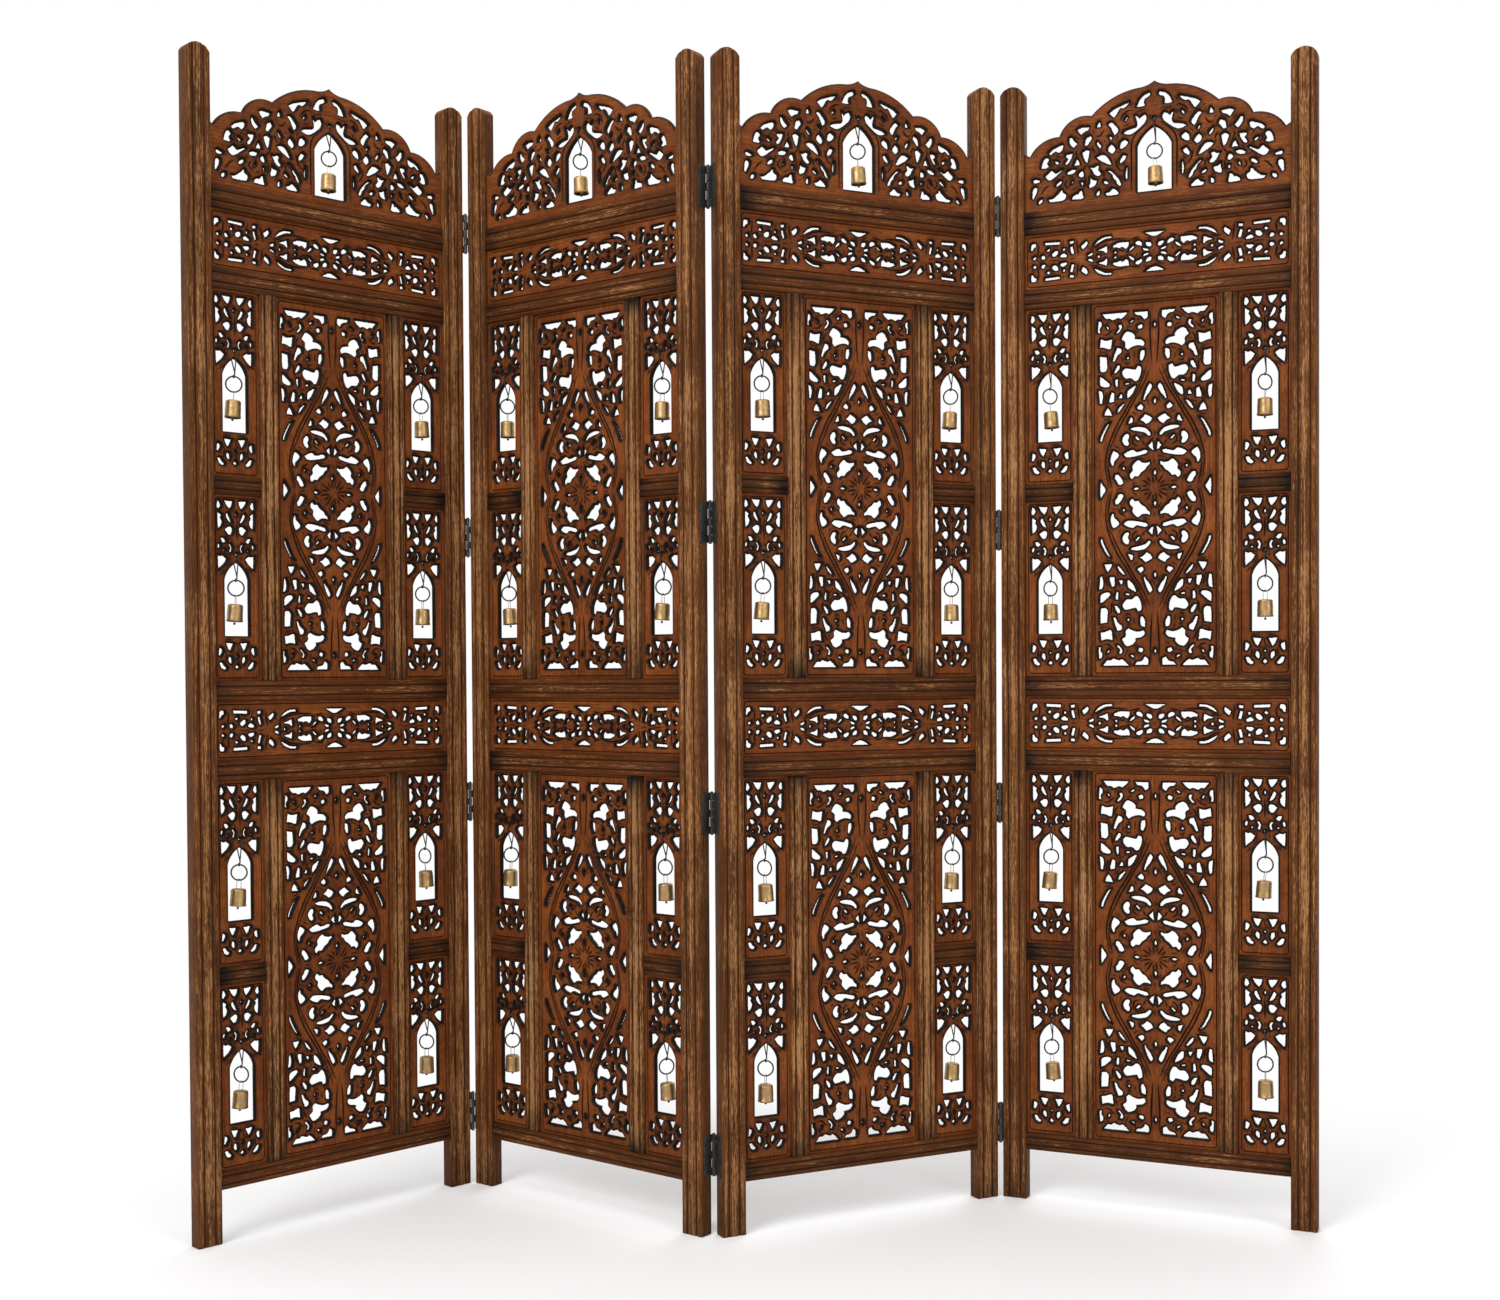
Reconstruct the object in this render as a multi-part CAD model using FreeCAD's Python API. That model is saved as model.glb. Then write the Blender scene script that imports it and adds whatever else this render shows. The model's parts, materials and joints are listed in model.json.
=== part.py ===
import FreeCAD, Part
import math
import os

# A folding screen of four wooden panels in a zigzag, hinged edge to edge.
# Each panel is a grooved frame that holds pierced carved boards, and a small brass bell
# hangs on a wire hanger in the arched window of the crest and of each narrow board.
# Millimetres and degrees. +Z is up, +X runs to the right and +Y points away from the front.
# The origin is on the floor, in the middle of the zigzag's plan.

Vec = FreeCAD.Vector

# Zigzag: how far each panel's width is turned from +X, from left to right
PANEL_DIRECTIONS = (44.5, -37.7, 25.3, -24.1)

# Frame of one panel
FRAME_THICKNESS = 25.0
BAR_SETBACK = 1.5
STILE_WIDTH = 40.0
STILE_ARCH_RISE = 13.0
STILE_ABOVE_CREST = 110.0
OPENING_WIDTH = 422.0
WINDOW_BAY_WIDTH = 80.0
MULLION_WIDTH = 30.0
LEG_HEIGHT = 82.0
BOTTOM_RAIL_HEIGHT = 28.0
MIDDLE_RAIL_HEIGHT = 32.0
TOP_RAIL_HEIGHT = 36.0
CROSS_RAIL_HEIGHT = 28.0
BAY_HEIGHT = 600.0
FRIEZE_HEIGHT = 90.0
CREST_HEIGHT = 189.0
CREST_SHOULDER_SHARE = 0.513
EDGE_ROUND = 2.5
REED_GROOVE_WIDTH = 3.0
REED_GROOVE_DEPTH = 2.0
CENTRE_REED_SHARE = 0.45

# Boards, and the grooves that hold them and the stub tenons
BOARD_THICKNESS = 9.6
GROOVE_DEPTH = 6.0
GROOVE_SIDE_CLEARANCE = 0.2
GROOVE_END_CLEARANCE = 0.8

# Arched windows
WINDOW_WIDTH = 40.0
WINDOW_ARCH_RISE = 26.0
WINDOW_SILL_CLEARANCE = 17.0
WINDOW_TOP_SHARE = 0.6
CREST_WINDOW_WIDTH = 54.0
CREST_WINDOW_ARCH_RISE = 29.0
CREST_SILL_CLEARANCE = 6.0
CREST_SILL_HEIGHT = 15.0
ARCH_FULLNESS = 3.5

# Bells, each on a wire round the wooden bridge above its window
BRIDGE_HEIGHT = 11.0
HANGER_WIRE_RADIUS = 0.75
HANGER_CLEARANCE = 0.3
HANGER_NECK_DROP = 18.0
HANGER_STEM_RADIUS = 1.1
RING_WIRE_RADIUS = 1.0
RING_RADIUS = 12.0
RING_CENTRE_DROP = 39.0
LINK_CLEARANCE = 0.25
BAIL_WIRE_RADIUS = 0.6
BAIL_RADIUS = 3.0
BAIL_TURN = 50.0
CUP_TOP_DROP = 64.0
CUP_HEIGHT = 27.0
CUP_CROWN_RADIUS = 8.5
CUP_SHOULDER_RADIUS = 11.3
CUP_SHOULDER_DROP = 3.0
CUP_RIM_RADIUS = 12.0
CUP_WALL = 0.9
CLAPPER_ROD_RADIUS = 1.2
CLAPPER_BALL_RADIUS = 3.5
CLAPPER_TAIL = 5.0

# Butt hinges on the stiles' edges
EDGE_GAP = 6.0
PIN_STANDOFF = 2.0
HINGE_HEIGHTS = (124.0, 655.0, 1105.0, 1620.0)
HINGE_LENGTH = 65.0
KNUCKLE_COUNT = 5
KNUCKLE_CLEARANCE = 0.5
KNUCKLE_END_CLEARANCE = 0.2
LEAF_THICKNESS = 1.5
LEAF_DEPTH = 20.0
PIN_RADIUS = 1.5
PIN_CLEARANCE = 0.08
PIN_HEAD_RADIUS = 2.4
PIN_HEAD_HEIGHT = 1.2

# Sizes that follow from those above
PANEL_WIDTH = OPENING_WIDTH + 2 * STILE_WIDTH
HALF_OPENING = OPENING_WIDTH / 2
BAR_THICKNESS = FRAME_THICKNESS - 2 * BAR_SETBACK
SEAT_DEPTH = GROOVE_DEPTH - GROOVE_END_CLEARANCE
GROOVE_WIDTH = BOARD_THICKNESS + 2 * GROOVE_SIDE_CLEARANCE
CENTRE_WIDTH = OPENING_WIDTH - 2 * (WINDOW_BAY_WIDTH + MULLION_WIDTH)
WINDOW_BOARD_HEIGHT = (BAY_HEIGHT - CROSS_RAIL_HEIGHT) / 2

LOWER_BAY_Z = LEG_HEIGHT + BOTTOM_RAIL_HEIGHT
LOWER_RAIL_Z = LOWER_BAY_Z + BAY_HEIGHT
LOWER_FRIEZE_Z = LOWER_RAIL_Z + MIDDLE_RAIL_HEIGHT
MIDDLE_RAIL_Z = LOWER_FRIEZE_Z + FRIEZE_HEIGHT
UPPER_BAY_Z = MIDDLE_RAIL_Z + MIDDLE_RAIL_HEIGHT
UPPER_RAIL_Z = UPPER_BAY_Z + BAY_HEIGHT
UPPER_FRIEZE_Z = UPPER_RAIL_Z + MIDDLE_RAIL_HEIGHT
TOP_RAIL_Z = UPPER_FRIEZE_Z + FRIEZE_HEIGHT
CREST_Z = TOP_RAIL_Z + TOP_RAIL_HEIGHT
CREST_SHOULDER = CREST_HEIGHT * CREST_SHOULDER_SHARE
STILE_HEIGHT = CREST_Z + CREST_SHOULDER + STILE_ABOVE_CREST

CLAPPER_DROP = CUP_TOP_DROP + CUP_HEIGHT + CLAPPER_TAIL
WINDOW_HEIGHT = CLAPPER_DROP + WINDOW_SILL_CLEARANCE
CREST_WINDOW_HEIGHT = CLAPPER_DROP + CREST_SILL_CLEARANCE
WINDOW_APEX = WINDOW_BOARD_HEIGHT - WINDOW_TOP_SHARE * (WINDOW_BOARD_HEIGHT - WINDOW_HEIGHT)
CREST_APEX = CREST_SILL_HEIGHT + CREST_WINDOW_HEIGHT
HANGER_RADIUS = (
    math.hypot(BOARD_THICKNESS / 2, BRIDGE_HEIGHT / 2) + HANGER_WIRE_RADIUS + HANGER_CLEARANCE
)
HANGER_HOLE_TOP = HANGER_RADIUS + HANGER_WIRE_RADIUS + HANGER_CLEARANCE
HANGER_HOLE_RADIUS = (HANGER_HOLE_TOP - BRIDGE_HEIGHT / 2) / 2
PIVOT_ABOVE_APEX = BRIDGE_HEIGHT / 2

PIVOT_U = (PANEL_WIDTH + EDGE_GAP) / 2
PIVOT_V = FRAME_THICKNESS / 2 + PIN_STANDOFF
KNUCKLE_RADIUS = math.hypot(EDGE_GAP / 2, PIN_STANDOFF) - KNUCKLE_CLEARANCE

# Shapes in a panel's own plan: u along its width from its middle, v to its back, z up


def edge(points):
    """A straight edge through two points, or an arc through three."""
    if len(points) == 2:
        return Part.LineSegment(*points).toShape()
    return Part.Arc(*points).toShape()


def box(u_range, v_range, z_range):
    """A block between two values each way."""
    corner = Vec(u_range[0], v_range[0], z_range[0])
    sizes = [high - low for low, high in (u_range, v_range, z_range)]
    return Part.makeBox(*sizes, corner)


def bar(width, thickness, length, upright):
    """A bar from 0 to its length, with rounded long edges and two V grooves on front and back."""

    def at(across, depth):
        if upright:
            return Vec(across, depth, 0)
        return Vec(0, depth, across)

    half_width = width / 2
    half_thickness = thickness / 2
    flat_width = half_width - EDGE_ROUND
    flat_thickness = half_thickness - EDGE_ROUND
    bevel = EDGE_ROUND * math.sqrt(0.5)
    half_reed = width * CENTRE_REED_SHARE / 2
    face_line = [(-flat_width, half_thickness)]
    for groove in (-half_reed, half_reed):
        face_line.append((groove - REED_GROOVE_WIDTH / 2, half_thickness))
        face_line.append((groove, half_thickness - REED_GROOVE_DEPTH))
        face_line.append((groove + REED_GROOVE_WIDTH / 2, half_thickness))
    face_line.append((flat_width, half_thickness))
    edges = []
    for side in (1, -1):
        points = [at(side * across, -side * depth) for across, depth in face_line]
        edges += [edge(pair) for pair in zip(points, points[1:])]
        front_corner = at(side * (flat_width + bevel), -side * (flat_thickness + bevel))
        back_corner = at(side * (flat_width + bevel), side * (flat_thickness + bevel))
        front_edge = at(side * half_width, -side * flat_thickness)
        back_edge = at(side * half_width, side * flat_thickness)
        back_face = at(side * flat_width, side * half_thickness)
        edges.append(edge((points[-1], front_corner, front_edge)))
        edges.append(edge((front_edge, back_edge)))
        edges.append(edge((back_edge, back_corner, back_face)))
    run = Vec(0, 0, length) if upright else Vec(length, 0, 0)
    return Part.Face(Part.Wire(edges)).extrude(run)


def grooves_across(u_range, v_half, z_range, depth, sides):
    """The grooves in the long edges of a lying bar, below (-1) or above (1)."""
    below = (z_range[0], z_range[0] + depth)
    above = (z_range[1] - depth, z_range[1])
    return [box(u_range, (-v_half, v_half), below if side < 0 else above) for side in sides]


def lying_bar(u_range, z_range, grooved_sides):
    """A rail with its grooves and a stub tenon at each end."""
    shape = bar(z_range[1] - z_range[0], BAR_THICKNESS, u_range[1] - u_range[0], False)
    shape.translate(Vec(u_range[0], 0, (z_range[0] + z_range[1]) / 2))
    for groove in grooves_across(u_range, GROOVE_WIDTH / 2, z_range, GROOVE_DEPTH, grooved_sides):
        shape = shape.cut(groove)
    tenon_z = (z_range[0] + GROOVE_DEPTH, z_range[1] - GROOVE_DEPTH)
    half_tongue = BOARD_THICKNESS / 2
    for outer in ((u_range[0] - SEAT_DEPTH, u_range[0]), (u_range[1], u_range[1] + SEAT_DEPTH)):
        shape = shape.fuse(box(outer, (-half_tongue, half_tongue), tenon_z))
    return shape.removeSplitter()


def mullion(u, z_range):
    """An upright between two rails, grooved on both sides, with a stub tenon at each end."""
    shape = bar(MULLION_WIDTH, BAR_THICKNESS, z_range[1] - z_range[0], True)
    shape.translate(Vec(u, 0, z_range[0]))
    left, right = u - MULLION_WIDTH / 2, u + MULLION_WIDTH / 2
    half_groove = GROOVE_WIDTH / 2
    for sides in ((left, left + GROOVE_DEPTH), (right - GROOVE_DEPTH, right)):
        shape = shape.cut(box(sides, (-half_groove, half_groove), z_range))
    tenon_u = (left + GROOVE_DEPTH, right - GROOVE_DEPTH)
    half_tongue = BOARD_THICKNESS / 2
    for outer in ((z_range[0] - SEAT_DEPTH, z_range[0]), (z_range[1], z_range[1] + SEAT_DEPTH)):
        shape = shape.fuse(box(tenon_u, (-half_tongue, half_tongue), outer))
    return shape.removeSplitter()


def stile(side):
    """A reeded upright with an arched top and a stopped groove on its inner edge."""
    half = STILE_WIDTH / 2
    spring = STILE_HEIGHT - STILE_ARCH_RISE
    front = -FRAME_THICKNESS / 2
    corners = [Vec(-half, front, spring), Vec(-half, front, 0), Vec(half, front, 0), Vec(half, front, spring)]
    edges = [edge(pair) for pair in zip(corners, corners[1:])]
    edges.append(edge((corners[-1], Vec(0, front, STILE_HEIGHT), corners[0])))
    arched = Part.Face(Part.Wire(edges)).extrude(Vec(0, FRAME_THICKNESS, 0))
    shape = bar(STILE_WIDTH, FRAME_THICKNESS, STILE_HEIGHT, True).common(arched)
    inner = -side * half
    groove_u = sorted((inner, inner + side * GROOVE_DEPTH))
    groove_z = (LEG_HEIGHT + GROOVE_DEPTH, CREST_Z + CREST_SHOULDER)
    half_groove = GROOVE_WIDTH / 2
    shape = shape.cut(box(groove_u, (-half_groove, half_groove), groove_z))
    shape.translate(Vec(side * (HALF_OPENING + half), 0, 0))
    return shape


# Carved cuts, drawn in millimetres about the middle of a board's visible part


def polygon(*points):
    """A straight-sided cut."""
    return list(zip(points, points[1:] + points[:1]))


def lens(tip, other_tip, width, bow=0.0):
    """A pointed slit between two tips, bowed to the left of the way from tip to tip."""
    along = (other_tip[0] - tip[0], other_tip[1] - tip[1])
    length = math.hypot(*along)
    normal = (-along[1] / length, along[0] / length)
    middle = ((tip[0] + other_tip[0]) / 2, (tip[1] + other_tip[1]) / 2)
    sides = []
    for reach in (bow + width / 2, bow - width / 2):
        sides.append((middle[0] + reach * normal[0], middle[1] + reach * normal[1]))
    return [(tip, sides[0], other_tip), (other_tip, sides[1], tip)]


FOUR_WAYS = ((1, 1), (-1, 1), (1, -1), (-1, -1))
LEFT_AND_RIGHT = ((1, 1), (-1, 1))
UP_AND_DOWN = ((1, 1), (1, -1))

# One quarter of the tall centre board: vine field above the ogee band, flower field below it
CENTRE_DRAWN = (202.0, 600.0)
CENTRE_CUTS = (
    polygon((84, 284), (42, 284), (54, 273), (74, 273)),
    polygon((32, 283), (11, 283), (12, 270), (22, 275)),
    polygon((46, 252), (33, 246), (30, 239), (17, 234), (20, 227), (42, 224), (54, 240)),
    polygon((88, 243), (69, 243), (71, 227), (88, 230)),
    polygon((88, 215), (77, 214), (77, 192), (88, 191)),
    lens((55, 227), (67, 205), 9),
    polygon((52, 187), (47, 194), (30, 191), (23, 196), (22, 185), (29, 172), (46, 178)),
    polygon((88, 183), (72, 168), (88, 168)),
    lens((31, 166), (44, 146), 8),
    lens((5, 168), (18, 141), 7),
    polygon((16, 119), (5, 112), (14, 102), (25, 110)),
    lens((70, 110), (87, 78), 7, 4),
    lens((8, 86), (40, 95), 8, 4.5),
    lens((43, 70), (45, 89), 9, -6),
    polygon((67, 62), (57, 54), (66, 39), (71, 47)),
    lens((11, 60), (51, 54), 11),
    polygon((31, 45), (8, 43), (15, 31), (27, 19), (40, 16), (37, 33)),
    polygon((64, 22), (57, 24), (50, 10), (58, 8)),
)
CENTRE_SIDE_CUT = lens((86, 15), (86, -15), 10)

# One quarter of the long frieze board: an almond medallion and an end block
FRIEZE_DRAWN = (422.0, 90.0)
FRIEZE_CUTS = (
    polygon((179, 31), (154, 31), (154, 27), (179, 27)),
    polygon((203, 31), (195, 31), (199, 22), (203, 18)),
    lens((169, 9), (157, 17), 7),
    polygon((121, 20), (109, 28), (110, 17)),
    lens((98, 20), (69, 32), 4, -3),
    polygon((92, 9), (77, 16), (76, 5)),
    polygon((67, 13), (58, 19), (41, 19), (45, 9)),
    lens((31, 20), (20, 13), 6),
)
FRIEZE_MIDDLE_CUT = polygon((-16, 32), (16, 32), (0, 24))

# One half of the parts of a narrow board above and below its window
WINDOW_TOP_DRAWN = (80.0, 104.0)
WINDOW_TOP_CUTS = (
    polygon((20, 43), (4, 43), (10, 29)),
    polygon((32, 26), (23, 20), (22, 10), (32, -2)),
    polygon((19, -3), (6, 2), (8, -11)),
    lens((9, -24), (8, -38), 7, -3),
    polygon((32, -41), (15, -47), (32, -63)),
)
WINDOW_FOOT_DRAWN = (80.0, 69.0)
WINDOW_FOOT_CUTS = (
    polygon((19, 24), (5, 24), (11, 10)),
    polygon((31, 18), (24, 13), (31, 4)),
    polygon((31, -7), (17, -15), (29, -16)),
)

# One half of the crest: its lobed top edge and the leaf cuts about its window
CREST_DRAWN = (422.0, 189.0)
CREST_NOTCH = (203, 92)
CREST_LOBES = (
    (CREST_NOTCH, (182, 113), (154, 119)),
    ((154, 119), (135, 142), (101, 146)),
    ((101, 146), (65, 171), (22, 181)),
    ((22, 181), (9, 184), (0, 189)),
)
CREST_CUTS = (
    polygon((7, 172), (15, 152), (28, 151)),
    polygon((73, 147), (40, 161), (64, 139)),
    lens((13, 137), (51, 112), 11, -5),
    polygon((75, 129), (67, 131), (58, 118), (63, 110)),
    polygon((125, 127), (104, 129), (118, 118)),
    polygon((138, 115), (124, 104), (131, 98), (138, 107)),
    polygon((111, 112), (102, 115), (105, 103), (113, 100)),
    polygon((171, 94), (148, 105), (150, 95)),
    polygon((55, 98), (48, 102), (42, 96), (51, 87)),
    polygon((184, 73), (177, 87), (171, 83), (172, 71)),
    polygon((117, 89), (104, 90), (109, 71)),
    polygon((94, 78), (81, 81), (68, 64)),
    polygon((178, 58), (168, 66), (147, 66), (169, 50)),
    polygon((142, 59), (126, 63), (131, 56)),
    polygon((104, 63), (89, 65), (87, 49)),
    lens((76, 55), (53, 29), 8, 3),
    polygon((105, 47), (92, 42), (105, 30)),
    polygon((173, 15), (152, 33), (143, 25), (145, 15)),
    polygon((134, 15), (117, 29), (113, 15)),
    polygon((79, 15), (67, 26), (56, 15)),
    polygon((199, 38), (191, 40), (198, 22)),
)


def cut_wires(cuts, middle, scale, mirrors):
    """The cuts as closed wires on a board's front face, scaled to the board and mirrored."""
    front = -BOARD_THICKNESS / 2
    wires = []
    for flip_u, flip_z in mirrors:
        for cut in cuts:
            edges = []
            for run in cut:
                points = []
                for u, z in run:
                    place_u = middle[0] + flip_u * scale[0] * u
                    place_z = middle[1] + flip_z * scale[1] * z
                    points.append(Vec(place_u, front, place_z))
                edges.append(edge(points))
            wires.append(Part.Wire(edges))
    return wires


def rectangle(u_range, z_range):
    """A board's outline as a wire."""
    corners = polygon(
        (u_range[0], z_range[0]), (u_range[1], z_range[0]), (u_range[1], z_range[1]), (u_range[0], z_range[1])
    )
    return cut_wires([corners], (0, 0), (1, 1), [(1, 1)])[0]


def board(outline, cuts):
    """A flat board with its cuts right through."""
    face = Part.makeFace([outline] + cuts, "Part::FaceMakerBullseye").Faces[0]
    return face.extrude(Vec(0, BOARD_THICKNESS, 0))


def arched_cut(u, sill_z, width, height, arch_rise):
    """A pointed-arch window."""
    half = width / 2
    apex = (u, sill_z + height)
    spring_z = sill_z + height - arch_rise
    chord = math.hypot(half, arch_rise)
    lean_u = ARCH_FULLNESS * arch_rise / chord
    lean_z = ARCH_FULLNESS * half / chord
    crown_z = spring_z + arch_rise / 2 + lean_z
    right = (u + half, spring_z)
    left = (u - half, spring_z)
    runs = [
        ((u - half, sill_z), (u + half, sill_z)),
        ((u + half, sill_z), right),
        (right, (u + half / 2 + lean_u, crown_z), apex),
        (apex, (u - half / 2 - lean_u, crown_z), left),
        (left, (u - half, sill_z)),
    ]
    return cut_wires([runs], (0, 0), (1, 1), [(1, 1)])[0]


def hanger_hole(u, apex_z):
    """The drilled hole that a bell's wire passes through."""
    middle = Vec(u, -BOARD_THICKNESS / 2, apex_z + PIVOT_ABOVE_APEX + HANGER_HOLE_TOP - HANGER_HOLE_RADIUS)
    return Part.Wire([Part.Circle(middle, Vec(0, 1, 0), HANGER_HOLE_RADIUS).toShape()])


def centre_board(bay_z):
    """The tall carved board between the mullions."""
    half = CENTRE_WIDTH / 2 + SEAT_DEPTH
    outline = rectangle((-half, half), (bay_z - SEAT_DEPTH, bay_z + BAY_HEIGHT + SEAT_DEPTH))
    middle = (0, bay_z + BAY_HEIGHT / 2)
    scale = (CENTRE_WIDTH / CENTRE_DRAWN[0], BAY_HEIGHT / CENTRE_DRAWN[1])
    cuts = cut_wires(CENTRE_CUTS, middle, scale, FOUR_WAYS)
    cuts += cut_wires([CENTRE_SIDE_CUT], middle, scale, LEFT_AND_RIGHT)
    return board(outline, cuts)


def frieze_board(frieze_z):
    """The long carved board between two rails."""
    half = HALF_OPENING + SEAT_DEPTH
    outline = rectangle((-half, half), (frieze_z - SEAT_DEPTH, frieze_z + FRIEZE_HEIGHT + SEAT_DEPTH))
    middle = (0, frieze_z + FRIEZE_HEIGHT / 2)
    scale = (OPENING_WIDTH / FRIEZE_DRAWN[0], FRIEZE_HEIGHT / FRIEZE_DRAWN[1])
    cuts = cut_wires(FRIEZE_CUTS, middle, scale, FOUR_WAYS)
    cuts += cut_wires([FRIEZE_MIDDLE_CUT], middle, scale, UP_AND_DOWN)
    return board(outline, cuts)


def window_board(u, board_z):
    """A narrow carved board with its arched window."""
    half = WINDOW_BAY_WIDTH / 2 + SEAT_DEPTH
    top_z = board_z + WINDOW_BOARD_HEIGHT
    apex_z = board_z + WINDOW_APEX
    sill_z = apex_z - WINDOW_HEIGHT
    outline = rectangle((u - half, u + half), (board_z - SEAT_DEPTH, top_z + SEAT_DEPTH))
    cuts = [arched_cut(u, sill_z, WINDOW_WIDTH, WINDOW_HEIGHT, WINDOW_ARCH_RISE), hanger_hole(u, apex_z)]
    for drawn, shapes, low, high in (
        (WINDOW_TOP_DRAWN, WINDOW_TOP_CUTS, apex_z, top_z),
        (WINDOW_FOOT_DRAWN, WINDOW_FOOT_CUTS, board_z, sill_z),
    ):
        scale = (WINDOW_BAY_WIDTH / drawn[0], (high - low) / drawn[1])
        cuts += cut_wires(shapes, (u, (low + high) / 2), scale, LEFT_AND_RIGHT)
    return board(outline, cuts)


def crest_board():
    """The lobed carved board above the top rail."""
    scale_u = OPENING_WIDTH / CREST_DRAWN[0]
    scale_z = CREST_HEIGHT / CREST_DRAWN[1]
    half = HALF_OPENING + SEAT_DEPTH
    notch = (CREST_NOTCH[0] * scale_u, CREST_NOTCH[1] * scale_z)
    seat = [
        ((0, -SEAT_DEPTH), (half, -SEAT_DEPTH)),
        ((half, -SEAT_DEPTH), (half, CREST_SHOULDER)),
        ((half, CREST_SHOULDER), (HALF_OPENING, CREST_SHOULDER)),
        ((HALF_OPENING, CREST_SHOULDER), notch),
    ]
    right = seat + [tuple((u * scale_u, z * scale_z) for u, z in run) for run in CREST_LOBES]
    left = [tuple((-u, z) for u, z in reversed(run)) for run in reversed(right)]
    outline = cut_wires([right + left], (0, CREST_Z), (1, 1), [(1, 1)])[0]
    sill_z = CREST_Z + CREST_SILL_HEIGHT
    cuts = cut_wires(CREST_CUTS, (0, CREST_Z), (scale_u, scale_z), LEFT_AND_RIGHT)
    cuts.append(arched_cut(0, sill_z, CREST_WINDOW_WIDTH, CREST_WINDOW_HEIGHT, CREST_WINDOW_ARCH_RISE))
    cuts.append(hanger_hole(0, CREST_Z + CREST_APEX))
    return board(outline, cuts)


# Bell, about the swing axis through the bridge above its window


def wire_along(path, radius):
    """Round wire along joined edges that lie in one plane."""
    start = path[0].valueAt(path[0].FirstParameter)
    heading = path[0].tangentAt(path[0].FirstParameter)
    section = Part.Wire([Part.Circle(start, heading, radius).toShape()])
    return Part.Wire(path).makePipeShell([section], True, False)


def hanger():
    """The wire round the bridge, twisted into a stem with an eye for the ring."""
    neck_z = -(PIVOT_ABOVE_APEX + HANGER_NECK_DROP)
    ring_top_z = -(PIVOT_ABOVE_APEX + RING_CENTRE_DROP - RING_RADIUS)
    eye_radius = RING_WIRE_RADIUS + HANGER_WIRE_RADIUS + LINK_CLEARANCE
    half_angle = math.asin(HANGER_RADIUS / -neck_z)
    tangent_v = HANGER_RADIUS * math.cos(half_angle)
    tangent_z = -HANGER_RADIUS * math.sin(half_angle)
    neck = Vec(0, 0, neck_z)
    front = Vec(0, -tangent_v, tangent_z)
    back = Vec(0, tangent_v, tangent_z)
    section = Part.Face(Part.Wire([Part.Circle(front, front - neck, HANGER_WIRE_RADIUS).toShape()]))
    over_bridge = section.revolve(Vec(), Vec(-1, 0, 0), 180 + 2 * math.degrees(half_angle))
    strand_length = (front - neck).Length
    strands = [Part.makeCylinder(HANGER_WIRE_RADIUS, strand_length, top, neck - top) for top in (front, back)]
    stem_top = neck_z + HANGER_WIRE_RADIUS
    stem_foot = ring_top_z + eye_radius
    stem = Part.makeCylinder(HANGER_STEM_RADIUS, stem_top - stem_foot, Vec(0, 0, stem_foot))
    eye = Part.makeTorus(eye_radius, HANGER_WIRE_RADIUS, Vec(0, 0, ring_top_z), Vec(1, 0, 0))
    return over_bridge.fuse(strands + [stem, eye]).removeSplitter()


def ring():
    """The iron ring between the hanger and the bell."""
    return Part.makeTorus(
        RING_RADIUS, RING_WIRE_RADIUS, Vec(0, 0, -(PIVOT_ABOVE_APEX + RING_CENTRE_DROP)), Vec(0, 1, 0)
    )


def bail():
    """The bell's own wire loop, over the foot of the ring and down to the crown."""
    ring_foot_z = -(PIVOT_ABOVE_APEX + RING_CENTRE_DROP + RING_RADIUS)
    crown_z = -(PIVOT_ABOVE_APEX + CUP_TOP_DROP)
    top_z = ring_foot_z + RING_WIRE_RADIUS + LINK_CLEARANCE + BAIL_WIRE_RADIUS
    turn = math.radians(BAIL_TURN)
    reach_u = BAIL_RADIUS * math.cos(turn)
    reach_v = BAIL_RADIUS * math.sin(turn)
    points = []
    for side, z in ((-1, crown_z), (-1, top_z - BAIL_RADIUS), (0, top_z), (1, top_z - BAIL_RADIUS), (1, crown_z)):
        points.append(Vec(side * reach_u, side * reach_v, z))
    path = [edge(points[0:2]), edge(points[1:4]), edge(points[3:5])]
    return wire_along(path, BAIL_WIRE_RADIUS)


def cup():
    """The brass bell, a thin open cup with a flat crown."""
    top = -(PIVOT_ABOVE_APEX + CUP_TOP_DROP)
    shoulder = top - CUP_SHOULDER_DROP
    foot = top - CUP_HEIGHT
    bulge = math.sqrt(0.5)

    def profile(inset):
        crown = Vec(CUP_CROWN_RADIUS, 0, top - inset)
        side = Vec(CUP_SHOULDER_RADIUS - inset, 0, shoulder)
        span_u = side.x - crown.x
        span_z = crown.z - side.z
        corner = Vec(crown.x + span_u * bulge, 0, side.z + span_z * bulge)
        return Vec(0, 0, top - inset), crown, corner, side, Vec(CUP_RIM_RADIUS - inset, 0, foot)

    outer_axis, outer_crown, outer_corner, outer_side, outer_rim = profile(0)
    inner_axis, inner_crown, inner_corner, inner_side, inner_rim = profile(CUP_WALL)
    edges = [
        edge((outer_axis, outer_crown)),
        edge((outer_crown, outer_corner, outer_side)),
        edge((outer_side, outer_rim)),
        edge((outer_rim, inner_rim)),
        edge((inner_rim, inner_side)),
        edge((inner_side, inner_corner, inner_crown)),
        edge((inner_crown, inner_axis)),
        edge((inner_axis, outer_axis)),
    ]
    return Part.Face(Part.Wire(edges)).revolve(Vec(), Vec(0, 0, 1), 360)


def clapper():
    """The rod and ball under the crown, with a short tail below the rim."""
    top = -(PIVOT_ABOVE_APEX + CUP_TOP_DROP + CUP_WALL)
    tail = -(PIVOT_ABOVE_APEX + CLAPPER_DROP)
    rim = tail + CLAPPER_TAIL
    rod = Part.makeCylinder(CLAPPER_ROD_RADIUS, top - tail, Vec(0, 0, tail))
    ball = Part.makeSphere(CLAPPER_BALL_RADIUS, Vec(0, 0, rim + CLAPPER_BALL_RADIUS))
    return rod.fuse(ball).removeSplitter()


# Hinge, about its pin: the panel lies on the side -u, behind its face towards +v


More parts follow.
